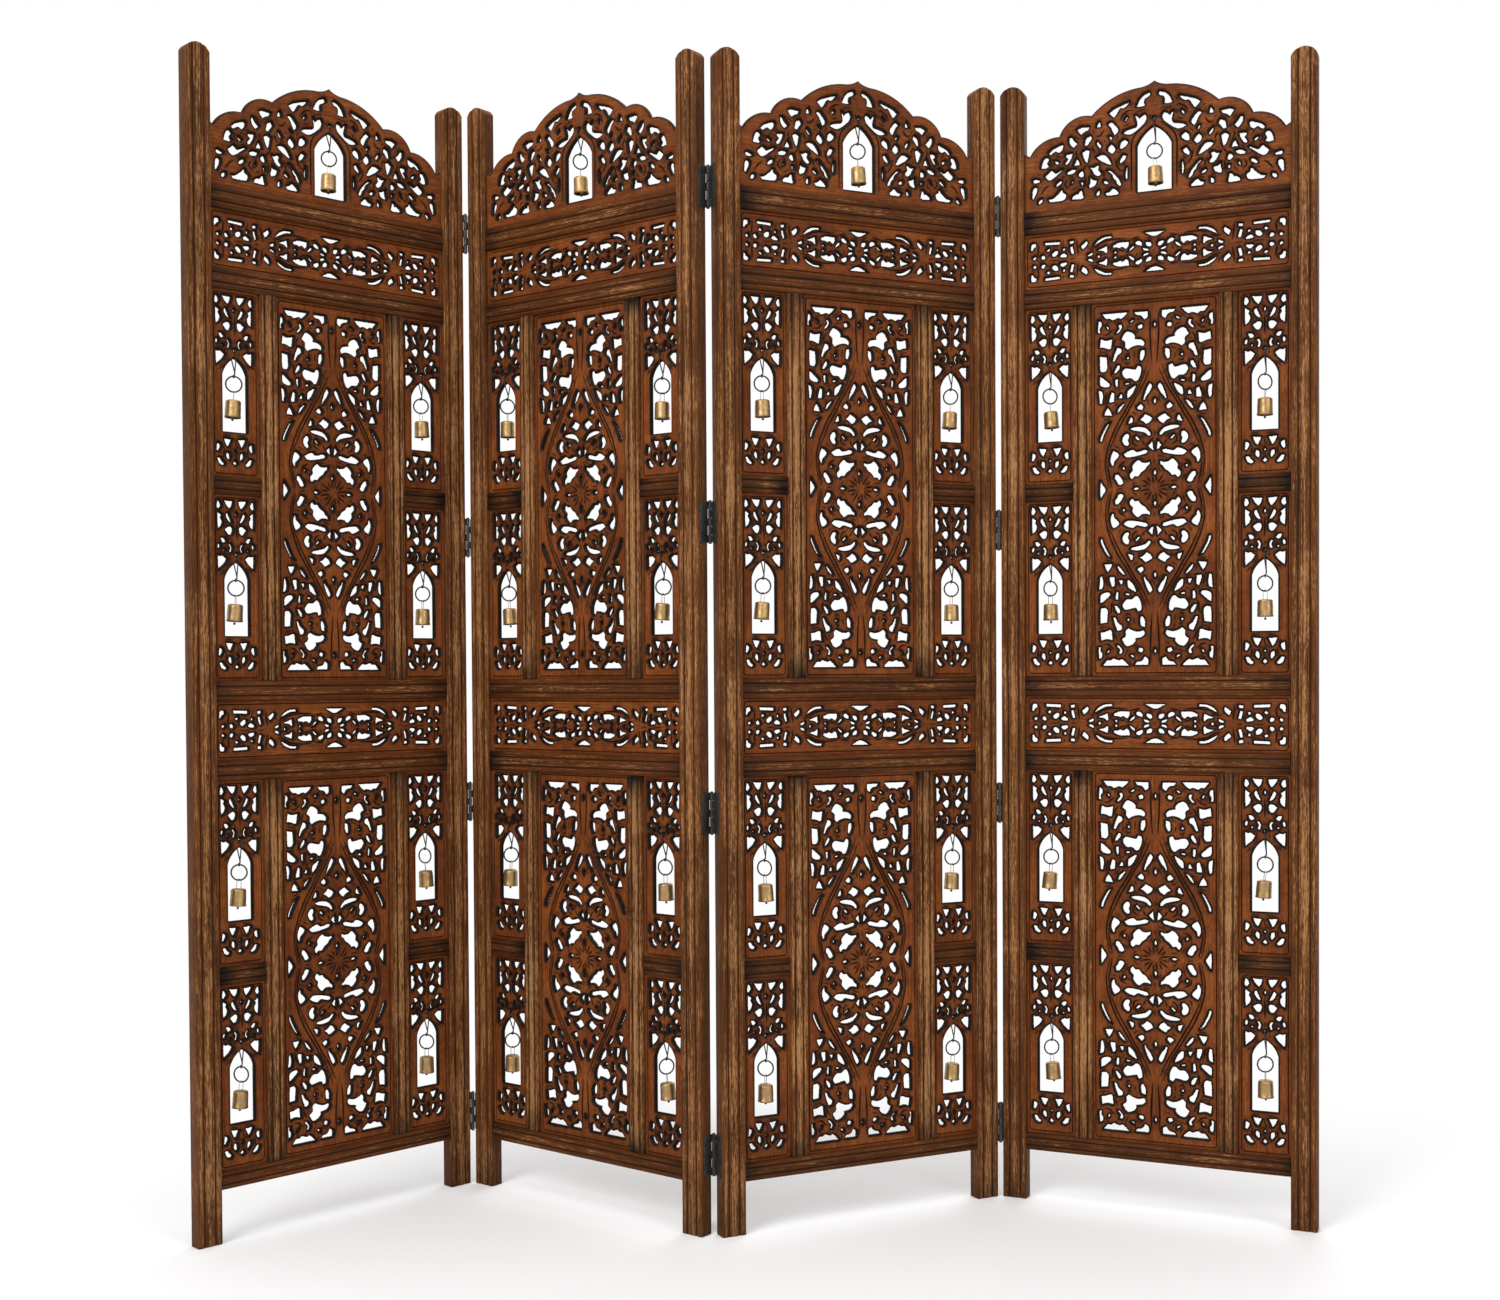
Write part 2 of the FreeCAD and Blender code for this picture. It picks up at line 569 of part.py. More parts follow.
def hinge_leaf(own_slots):
    """A leaf on a stile's edge with its share of the knuckles."""
    plate_u = (-EDGE_GAP / 2, LEAF_THICKNESS - EDGE_GAP / 2)
    swept = KNUCKLE_RADIUS + KNUCKLE_CLEARANCE
    plate_start = math.sqrt(swept**2 - plate_u[1] ** 2)
    plate_end = PIN_STANDOFF + LEAF_DEPTH
    shape = box(plate_u, (plate_start, plate_end), (0, HINGE_LENGTH))
    slot = HINGE_LENGTH / KNUCKLE_COUNT
    for number in own_slots:
        low = number * slot + KNUCKLE_END_CLEARANCE / 2
        high = (number + 1) * slot - KNUCKLE_END_CLEARANCE / 2
        knuckle = Part.makeCylinder(KNUCKLE_RADIUS, high - low, Vec(0, 0, low))
        strap = box(plate_u, (0, plate_start), (low, high))
        shape = shape.fuse([knuckle, strap])
    bore = Part.makeCylinder(PIN_RADIUS + PIN_CLEARANCE, HINGE_LENGTH)
    return shape.cut(bore).removeSplitter()


def hinge_pin():
    """The pin, with a round head at each end."""
    shank = Part.makeCylinder(PIN_RADIUS, HINGE_LENGTH)
    foot = Part.makeCylinder(PIN_HEAD_RADIUS, PIN_HEAD_HEIGHT, Vec(0, 0, -PIN_HEAD_HEIGHT))
    head = Part.makeCylinder(PIN_HEAD_RADIUS, PIN_HEAD_HEIGHT, Vec(0, 0, HINGE_LENGTH))
    return shank.fuse([foot, head]).removeSplitter()


def edge_hinges(side, face, shapes):
    """Hinge pieces placed down one edge of a panel, pivoting before its front or behind its back."""
    placed = []
    for height in HINGE_HEIGHTS:
        for shape in shapes:
            copy = shape.copy()
            if side < 0:
                copy = copy.mirror(Vec(), Vec(1, 0, 0))
            if face > 0:
                copy = copy.mirror(Vec(), Vec(0, 1, 0))
            copy.translate(Vec(side * PIVOT_U, face * PIVOT_V, height - HINGE_LENGTH / 2))
            placed.append(copy)
    return placed


# One panel, and the places of its bells


def bell_places():
    """Name and swing axis (u, z) of each bell of a panel, from the top."""
    places = [("crest", 0, CREST_Z + CREST_APEX + PIVOT_ABOVE_APEX)]
    bay_u = HALF_OPENING - WINDOW_BAY_WIDTH / 2
    row = 0
    for bay_z in (UPPER_BAY_Z, LOWER_BAY_Z):
        for board_z in (bay_z + WINDOW_BOARD_HEIGHT + CROSS_RAIL_HEIGHT, bay_z):
            row += 1
            for side, word in ((-1, "left"), (1, "right")):
                places.append((f"row_{row}_{word}", side * bay_u, board_z + WINDOW_APEX + PIVOT_ABOVE_APEX))
    return places


def inner_frame():
    """The rails, mullions and cross rails between the stiles."""
    whole = (-HALF_OPENING, HALF_OPENING)
    pieces = [
        lying_bar(whole, (LEG_HEIGHT, LOWER_BAY_Z), (1,)),
        lying_bar(whole, (LOWER_RAIL_Z, LOWER_FRIEZE_Z), (-1, 1)),
        lying_bar(whole, (MIDDLE_RAIL_Z, UPPER_BAY_Z), (-1, 1)),
        lying_bar(whole, (UPPER_RAIL_Z, UPPER_FRIEZE_Z), (-1, 1)),
        lying_bar(whole, (TOP_RAIL_Z, CREST_Z), (-1, 1)),
    ]
    inner_u = CENTRE_WIDTH / 2 + MULLION_WIDTH
    for bay_z in (LOWER_BAY_Z, UPPER_BAY_Z):
        cross_z = bay_z + WINDOW_BOARD_HEIGHT
        for side in (-1, 1):
            pieces.append(mullion(side * (inner_u - MULLION_WIDTH / 2), (bay_z, bay_z + BAY_HEIGHT)))
            cross_u = sorted((side * inner_u, side * HALF_OPENING))
            pieces.append(lying_bar(cross_u, (cross_z, cross_z + CROSS_RAIL_HEIGHT), (-1, 1)))
    return pieces


def carved_boards():
    """The crest, the friezes and the centre boards."""
    friezes = [frieze_board(frieze_z) for frieze_z in (UPPER_FRIEZE_Z, LOWER_FRIEZE_Z)]
    centres = [centre_board(bay_z) for bay_z in (UPPER_BAY_Z, LOWER_BAY_Z)]
    return [crest_board()] + friezes + centres


def window_boards():
    """The eight narrow boards beside the mullions."""
    bay_u = HALF_OPENING - WINDOW_BAY_WIDTH / 2
    boards = []
    for bay_z in (UPPER_BAY_Z, LOWER_BAY_Z):
        for board_z in (bay_z + WINDOW_BOARD_HEIGHT + CROSS_RAIL_HEIGHT, bay_z):
            for side in (-1, 1):
                boards.append(window_board(side * bay_u, board_z))
    return boards


def pivot_face(junction):
    """-1 where the pin of a junction stands before the front faces, 1 where it is behind the backs."""
    return -1 if junction % 2 == 0 else 1


def turned(direction, u, v):
    """A panel's plan offset (u, v) in the screen's X and Y."""
    angle = math.radians(direction)
    return Vec(u * math.cos(angle) - v * math.sin(angle), u * math.sin(angle) + v * math.cos(angle), 0)


def panel_middles():
    """Each panel's middle in plan, with the middle of the whole zigzag's box at the origin."""
    middles = [Vec()]
    for junction, (left, right) in enumerate(zip(PANEL_DIRECTIONS, PANEL_DIRECTIONS[1:])):
        depth = pivot_face(junction) * PIVOT_V
        pivot = middles[-1] + turned(left, PIVOT_U, depth)
        middles.append(pivot - turned(right, -PIVOT_U, depth))
    corners = []
    reach_u = PANEL_WIDTH / 2 - EDGE_ROUND
    reach_v = FRAME_THICKNESS / 2 - EDGE_ROUND
    for middle, direction in zip(middles, PANEL_DIRECTIONS):
        for side, face in FOUR_WAYS:
            corners.append(middle + turned(direction, side * reach_u, face * reach_v))
    x_values = [corner.x for corner in corners]
    y_values = [corner.y for corner in corners]
    centre = Vec((min(x_values) + max(x_values)) / 2, (min(y_values) + max(y_values)) / 2, 0)
    return [middle - centre for middle in middles]


def put(shapes, middle, direction):
    """Copies of a panel's shapes as one compound in the screen's own frame."""
    placement = FreeCAD.Placement(middle, FreeCAD.Rotation(Vec(0, 0, 1), direction))
    copies = []
    for shape in shapes:
        copy = shape.copy()
        copy.Placement = placement.multiply(copy.Placement)
        copies.append(copy)
    return Part.makeCompound(copies)


def main():
    """Builds every piece once, places it on each panel and writes one file per node."""
    os.makedirs("parts", exist_ok=True)
    pieces = {
        "left_stile": [stile(-1)],
        "right_stile": [stile(1)],
        "inner_frame": inner_frame(),
        "carved_boards": carved_boards(),
        "window_boards": window_boards(),
    }
    bell = [hanger(), ring(), bail(), cup(), clapper()]
    slots = range(KNUCKLE_COUNT)
    left_leaf, right_leaf, pin = hinge_leaf(slots[0::2]), hinge_leaf(slots[1::2]), hinge_pin()
    last = len(PANEL_DIRECTIONS) - 1
    for index, (middle, direction) in enumerate(zip(panel_middles(), PANEL_DIRECTIONS)):
        nodes = dict(pieces)
        nodes["hinges"] = []
        if index > 0:
            nodes["hinges"] += edge_hinges(-1, pivot_face(index - 1), [right_leaf])
        if index < last:
            nodes["hinges"] += edge_hinges(1, pivot_face(index), [left_leaf, pin])
        for name, u, z in bell_places():
            hung = [shape.copy() for shape in bell]
            for shape in hung:
                shape.translate(Vec(u, 0, z))
            nodes["bell_" + name] = hung
        for name, shapes in nodes.items():
            put(shapes, middle, direction).exportStep(f"parts/panel_{index + 1}_{name}.step")


if __name__ == "__main__":
    main()
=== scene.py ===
import json
import math
import random
from collections import namedtuple

import bpy
import numpy as np
from mathutils import Matrix, Vector, kdtree
from mathutils.geometry import delaunay_2d_cdt

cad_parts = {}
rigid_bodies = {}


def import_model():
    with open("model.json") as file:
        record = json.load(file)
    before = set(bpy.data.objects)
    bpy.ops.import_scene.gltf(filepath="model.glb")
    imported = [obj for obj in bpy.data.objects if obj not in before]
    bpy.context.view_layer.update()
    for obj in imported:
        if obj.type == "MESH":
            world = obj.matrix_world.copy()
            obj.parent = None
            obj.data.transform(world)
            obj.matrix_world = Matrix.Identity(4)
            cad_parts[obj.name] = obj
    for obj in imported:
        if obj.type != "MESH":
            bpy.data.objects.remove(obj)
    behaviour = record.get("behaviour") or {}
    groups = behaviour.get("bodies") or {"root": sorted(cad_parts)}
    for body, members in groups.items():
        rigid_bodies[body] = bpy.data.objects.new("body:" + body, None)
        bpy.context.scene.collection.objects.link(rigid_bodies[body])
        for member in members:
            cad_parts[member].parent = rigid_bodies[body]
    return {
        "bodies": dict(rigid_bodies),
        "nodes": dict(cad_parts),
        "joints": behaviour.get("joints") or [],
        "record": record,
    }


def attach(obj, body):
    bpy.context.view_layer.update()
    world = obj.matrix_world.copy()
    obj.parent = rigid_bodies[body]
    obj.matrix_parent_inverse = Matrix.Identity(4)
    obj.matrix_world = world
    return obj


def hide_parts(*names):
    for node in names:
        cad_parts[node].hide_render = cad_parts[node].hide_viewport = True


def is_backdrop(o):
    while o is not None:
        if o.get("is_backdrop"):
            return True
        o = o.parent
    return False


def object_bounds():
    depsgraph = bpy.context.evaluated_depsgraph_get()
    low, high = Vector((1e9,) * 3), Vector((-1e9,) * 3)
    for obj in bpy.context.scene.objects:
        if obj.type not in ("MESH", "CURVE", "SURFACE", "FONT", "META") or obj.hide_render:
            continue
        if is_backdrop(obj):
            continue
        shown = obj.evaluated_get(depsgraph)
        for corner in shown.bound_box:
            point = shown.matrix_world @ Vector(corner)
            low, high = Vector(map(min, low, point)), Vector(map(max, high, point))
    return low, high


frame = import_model()
CAD_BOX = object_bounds()

bl_info = {
    "name": "Carved room divider",
    "version": (1, 0, 0),
    "blender": (4, 5, 0),
    "location": "View3D > Sidebar > Divider",
    "description": "Dresses the carved folding screen: reeded frames, pierced boards, bells and hinges",
    "category": "Object",
}

# Shapes are drawn in millimetres in a panel's own plan: u along its width, v to its back, z up.
# An upright board or bar has its grain along z, a lying one along u.
MM = 0.001
Solid = namedtuple("Solid", "low high")
PANELS = tuple(sorted(name for name in frame["bodies"] if "bell" not in name))
FEET = {mount["name"]: Vector(mount["pos_m"]) for mount in frame["record"]["mounts"]}
JOINTS = {joint["name"]: joint for joint in frame["joints"]}
FOLDS = tuple(name for name in JOINTS if name.startswith("fold"))


def panel_place(panel):
    """The matrix from a panel's own plan to the screen's frame, in metres."""
    left = FEET[panel + "_left_foot"]
    right = FEET[panel + "_right_foot"]
    across = right - left
    turn = Matrix.Rotation(math.atan2(across.y, across.x), 4, "Z")
    return Matrix.Translation((left + right) / 2) @ turn


def solids_of(panel, word):
    """The box of each separate solid of a panel's CAD node, in millimetres in the panel's plan."""
    mesh = frame["nodes"][f"{panel}_{word}"].data
    points = np.empty(len(mesh.vertices) * 3)
    mesh.vertices.foreach_get("co", points)
    points = points.reshape(-1, 3)
    _, merged = np.unique(np.round(points, 6), axis=0, return_inverse=True)
    merged = merged.reshape(-1)
    edges = np.empty(len(mesh.edges) * 2, int)
    mesh.edges.foreach_get("vertices", edges)
    start, end = merged[edges.reshape(-1, 2)].T
    label = np.arange(merged.max() + 1)
    while True:
        lowest = np.minimum(label[start], label[end])
        spread = label.copy()
        np.minimum.at(spread, start, lowest)
        np.minimum.at(spread, end, lowest)
        spread = spread[spread]
        if (spread == label).all():
            break
        label = spread
    inverse = np.array(panel_place(panel).inverted())
    local = (points @ inverse[:3, :3].T + inverse[:3, 3]) / MM
    owner = label[merged]
    found = [local[owner == name] for name in np.unique(owner)]
    return [Solid(part.min(0), part.max(0)) for part in found]


# Places that every panel shares, read from the first one
STILE = solids_of(PANELS[0], "left_stile")[0]
BARS = solids_of(PANELS[0], "inner_frame")
CARVED = sorted(solids_of(PANELS[0], "carved_boards"), key=lambda solid: -solid.high[2])
WINDOWED = solids_of(PANELS[0], "window_boards")
BELL = sorted(solids_of(PANELS[0], "bell_crest"), key=lambda solid: -solid.high[2])
BOARD_THICKNESS = float(WINDOWED[0].high[1] - WINDOWED[0].low[1])
HALF_OPENING = float(-STILE.high[0])
SEAT = float(CARVED[0].high[0]) - HALF_OPENING

# Carving, in millimetres
EDGE_BEVEL = 2.0
EDGE_DROP = 2.0
EDGE_SHARE_OF_GAP = 0.4
EDGE_SEARCH = 2.6 * EDGE_BEVEL
ACROSS_LAND = 0.45
SAME_POINT = 0.01
MERGE_WITHIN = 1e-5
WALL_LEAN = 0.25
LOOP_STEP = 2.6
GRID_PITCH = 3.6
ROW_PITCH = GRID_PITCH * 0.866
CLEAR_OF_CUT = 2.3
CLEAR_OF_GROOVE = 2.0
SURFACE_SINK = 0.9
SURFACE_REACH = 3.4
# Carved faces are painted darker near each cut: partly burnt stain, partly painted shade of the rounded
# edges.
EDGE_BURN_AND_SHADE = 0.72
BURN_AND_SHADE_REACH = 2.6
RIDGE_REACH = 5
# The cut walls are painted near black, burnt stain with painted shade inside the holes; the outline's wall is
# painted less dark.
OUTLINE_WEAR_AND_SHADE = (0.45, 0.5, 0.0)
CUT_WALL_BURN_AND_SHADE = (1.0, 0.0, 0.0)
# Engraved lines are painted dark at their bottoms and less at their lips: burnt stain with painted shade in
# the grooves; the rim's line paints the shaded edge of a rim.
Engraving = namedtuple("Engraving", "half_width depth lip_burn")
GROOVE = Engraving(1.35, 1.7, 0.45)
RIM = Engraving(0.9, 1.1, 0.3)
VEIN = Engraving(0.8, 1.1, 0.4)
GROOVE_MARGIN = 2.2
LEAST_RUN = 4
RIM_INSET = 4.4
RIM_CORNER = 4.0
VEIN_STEP = 1.7
VEIN_STEPS = 6
VEIN_CENTRING = (0.9, 0.7, 0.5, 0.4, 0.3, 0.2)
VEIN_PUSH = 0.2
VEIN_BEND = 0.35
VEIN_SEED_PITCH = 5.2
VEIN_CLEAR = 3.3
VEIN_FAR = 8.5
VEIN_APART = 4.2
FAR_SIDE = 1.25
FAR_SIDE_NEAR = 0.7
VEIN_FROM_OUTLINE = 20.0
CROWD_RADIUS = 9.0
CROWD_SHARE = 0.04
TOOTH_SEED = 17
TOOTH_BITE = 0.35
TOOTH_FADE = 6
TOOTH_FROM_POINTS = 12
TIP_TURN = math.radians(72)
DOT_SIDES = 8

FOUR_WAYS = ((1, 1), (-1, 1), (1, -1), (-1, -1))
LEFT_AND_RIGHT = ((1, 1), (-1, 1))
UP_AND_DOWN = ((1, 1), (1, -1))
AS_DRAWN = ((1, 1),)

# One quarter of the centre board, from its middle: vine field, ogee band and flower field
CENTRE_CUTS = (
    ((85, 284), (42, 284), (47, 278), (54, 273), (58, 275), (68, 272), (72, 275), (78, 275)),
    ((33, 283), (11, 283), (11, 273), (17, 269), (22, 276), (30, 278)),
    ((40, 268), (34, 272), (34, 268), (39, 266)),
    ((91, 273), (86, 271), (85, 264), (88, 260), (87, 253), (92, 254), (92, 262)),
    ((78, 264), (74, 262), (74, 257), (77, 260)),
    ((59, 264), (54, 265), (52, 260), (57, 252), (62, 250), (61, 254), (57, 258)),
    ((28, 260), (22, 263), (19, 260), (20, 256), (26, 255)),
    ((45, 253), (36, 250), (31, 244), (32, 240), (21, 238), (16, 232), (18, 227), (28, 229),
     (36, 227), (43, 223), (48, 228), (48, 236), (54, 241), (50, 249)),
    ((87, 244), (79, 241), (72, 242), (68, 243), (70, 227), (74, 226), (82, 229), (89, 230), (88, 240)),
    ((89, 216), (77, 214), (76, 195), (80, 190), (88, 191), (89, 200)),
    ((61, 228), (54, 226), (53, 220), (59, 215), (64, 206), (68, 206), (66, 215)),
    ((23, 220), (16, 222), (16, 212), (20, 204), (24, 206)),
    ((60, 200), (56, 199), (56, 194), (62, 187), (66, 187), (64, 193)),
    ((53, 188), (48, 194), (36, 192), (31, 191), (28, 197), (22, 195), (22, 184), (27, 173),
     (32, 172), (38, 177), (46, 177), (51, 182)),
    ((89, 183), (84, 181), (72, 170), (73, 166), (78, 165), (88, 169)),
    ((64, 177), (59, 178), (59, 166), (62, 164), (64, 170)),
    ((48, 170), (41, 171), (41, 168), (47, 167)),
    ((31, 166), (30, 164), (35, 153), (42, 146), (45, 147), (44, 157), (38, 162)),
    ((91, 161), (85, 159), (83, 150), (85, 139), (89, 140), (90, 150)),
    ((70, 157), (65, 155), (65, 141), (73, 140), (74, 144)),
    ((55, 154), (52, 151), (52, 146), (59, 146)),
    ((8, 168), (4, 163), (9, 152), (14, 146), (16, 141), (19, 142), (17, 150), (12, 163)),
    ((50, 138), (48, 137), (54, 128), (59, 123), (61, 124), (58, 131)),
    ((76, 133), (72, 128), (68, 119), (82, 120), (80, 127)),
    ((23, 136), (18, 130), (20, 125), (27, 127), (29, 130)),
    ((39, 115), (36, 114), (35, 107), (39, 105), (44, 104)),
    ((16, 119), (8, 115), (4, 112), (7, 106), (14, 102), (19, 107), (25, 110), (19, 115)),
    ((70, 110), (74, 104), (82, 88), (85, 79), (88, 78), (88, 84), (83, 95), (77, 105)),
    ((40, 97), (33, 99), (24, 99), (14, 96), (7, 88), (7, 84), (11, 84), (15, 88), (20, 90), (28, 92),
     (37, 94)),
    ((46, 89), (42, 88), (41, 82), (43, 78), (41, 72), (44, 69), (49, 71), (53, 78), (51, 85)),
    ((30, 85), (25, 80), (24, 78), (27, 77), (32, 82)),
    ((11, 68), (4, 76), (2, 60), (7, 63)),
    ((67, 63), (60, 59), (57, 55), (60, 50), (65, 45), (66, 39), (69, 38), (72, 45), (71, 55)),
    ((51, 56), (45, 60), (35, 63), (29, 59), (16, 62), (11, 60), (13, 56), (24, 53), (34, 51), (46, 51)),
    ((31, 44), (26, 46), (21, 42), (14, 41), (8, 43), (8, 38), (12, 35), (15, 30), (22, 25), (27, 19),
     (32, 20), (36, 15), (40, 18), (41, 24), (36, 30), (37, 36)),
    ((52, 36), (48, 35), (49, 31), (52, 32)),
    ((64, 24), (59, 24), (53, 17), (50, 10), (54, 7), (59, 8), (62, 14), (65, 18)),
)
CENTRE_AXIS_CUTS = (
    ((0, 265), (2, 261), (0, 256), (-2, 261)),
    ((0, 144), (2.5, 138), (0, 134), (-2.5, 138)),
    ((0, 30), (2.5, 24), (0, 20), (-2.5, 24)),
)
CENTRE_SIDE_CUTS = (
    ((88, 15), (83, 7), (79, 0), (83, -7), (88, -15), (89, 0)),
    ((25, 0), (30, 2.5), (35, 0), (30, -2.5)),
)
CENTRE_DOTS = (((43, 210), 2.2),)
CENTRE_STROKES = (
    ((12, 196), (19, 176), (27, 158), (37, 142), (48, 123), (59, 105), (69, 84), (76, 62), (79, 42),
     (77, 22), (73, 4)),
    ((7, 190), (14, 174), (23, 156), (33, 140), (44, 120), (55, 101), (64, 82), (71, 66), (75, 44),
     (73, 24), (69, 4)),
    ((6, 278), (7, 256), (6, 228), (4, 200)),
    ((66, 258), (74, 250), (82, 249)),
    ((60, 243), (64, 236), (66, 222)),
    ((70, 200), (69, 184), (66, 178)),
    ((38, 217), (45, 216), (48, 208), (44, 200), (38, 202)),
    ((76, 157), (79, 140), (80, 128)),
    ((24, 80), (18, 74), (16, 68)),
    ((36, 84), (34, 72), (26, 68)),
    ((46, 44), (50, 42), (56, 38), (58, 30)),
)
FLOWER_PETALS = 8
FLOWER_LINES = ((7, 25), (11, 21))

# One quarter of the frieze board: almond medallion and end block
FRIEZE_CUTS = (
    ((202, 20), (202, 28), (200, 31), (194, 31), (193, 26), (197, 24), (199, 20)),
    ((179, 31), (154, 30), (154, 26), (178, 27)),
    ((138, 29), (131, 30), (131, 26), (137, 25)),
    ((176, 18), (172, 21), (170, 18), (173, 16)),
    ((167, 11), (162, 16), (157, 16), (157, 11), (162, 7), (166, 8)),
    ((137, 20), (133, 21), (130, 9), (134, 8), (136, 14)),
    ((185, 9), (181, 11), (178, 7), (179, 4), (184, 5)),
    ((154, 7), (149, 11), (142, 7), (143, 4), (152, 5)),
    ((199, 7), (195, 10), (193, 7), (196, 4)),
    ((119, 20), (110, 27), (108, 24), (110, 19), (116, 14)),
    ((108, 4), (100, 8), (100, 4), (106, 2)),
    ((98, 18), (92, 25), (82, 30), (70, 31), (69, 28), (80, 27), (90, 22)),
    ((92, 10), (84, 13), (77, 16), (76, 6), (78, 4), (82, 8)),
    ((67, 15), (58, 19), (41, 19), (42, 12), (46, 8), (52, 12), (56, 10), (61, 12), (66, 12)),
    ((31, 17), (26, 19), (20, 14), (21, 10), (30, 14)),
    ((42, 3), (38, 5), (33, 9), (33, 12), (38, 9)),
    ((14, 16), (6, 14), (5, 9), (9, 8), (14, 12)),
    ((19, 7), (10, 4), (10, 1.5), (17, 3)),
)
FRIEZE_AXIS_CUTS = (((16, 31), (0, 24), (-16, 31)),)
FRIEZE_DOTS = (((147, 17), 2.0), ((63, 4), 1.8))
FRIEZE_SIDE_DOTS = (((90, 0), 2.0),)
FRIEZE_STROKES = (
    ((105, 14), (96, 14), (84, 21), (70, 24), (52, 24), (36, 22), (24, 24)),
    ((125, 30), (124, 18), (122, 6)),
    ((188, 28), (189, 16), (190, 6)),
    ((58, 7), (52, 5), (47, 3)),
)

# One half of a narrow board, from its middle, above and below the window
WINDOW_CUTS = (
    ((31, 134), (27, 133), (24, 126), (28, 121), (32, 123)),
    ((20, 135), (4, 134), (6, 126), (10, 121), (14, 125), (17, 129)),
    ((31, 118), (27, 115), (23, 112), (25, 108), (22, 103), (24, 95), (30, 90), (31, 100)),
    ((17, 113), (13, 116), (8, 105), (6, 100), (10, 101), (15, 106)),
    ((19, 90), (12, 95), (6, 94), (5, 88), (8, 82), (13, 82)),
    ((26, 77), (20, 77), (16, 72), (20, 69), (24, 71)),
    ((31, 66), (28, 69), (26, 65), (28, 60), (31, 61)),
    ((13, 67), (9, 68), (6, 62), (8, 54), (12, 56), (10, 62)),
    ((31, 51), (26, 49), (22, 50), (15, 45), (19, 38), (30, 28), (31, 38)),
    ((30, -91), (24, -94), (24, -99), (28, -105), (31, -103)),
    ((19, -84), (5, -85), (8, -92), (11, -98), (15, -94)),
    ((14, -105), (9, -107), (8, -115), (10, -118), (15, -112)),
    ((30, -115), (25, -114), (21, -119), (17, -123), (20, -126), (27, -123)),
)
WINDOW_AXIS_CUTS = (
    ((0, 117), (2, 113), (0, 110), (-2, 113)),
    ((4, -122), (0, -117), (-4, -122), (0, -125)),
)
WINDOW_DOTS = (((20, 58), 1.8),)
WINDOW_AXIS_DOTS = (((0, -105), 1.8),)
WINDOW_STROKES = (
    ((19, 121), (21, 116), (20, 108)),
    ((22, 88), (20, 82)),
    ((19, -100), (20, -108), (20, -114)),
)
WINDOW_AXIS_STROKES = (((0, 104), (0, 96), (0, 84), (0, 74)),)

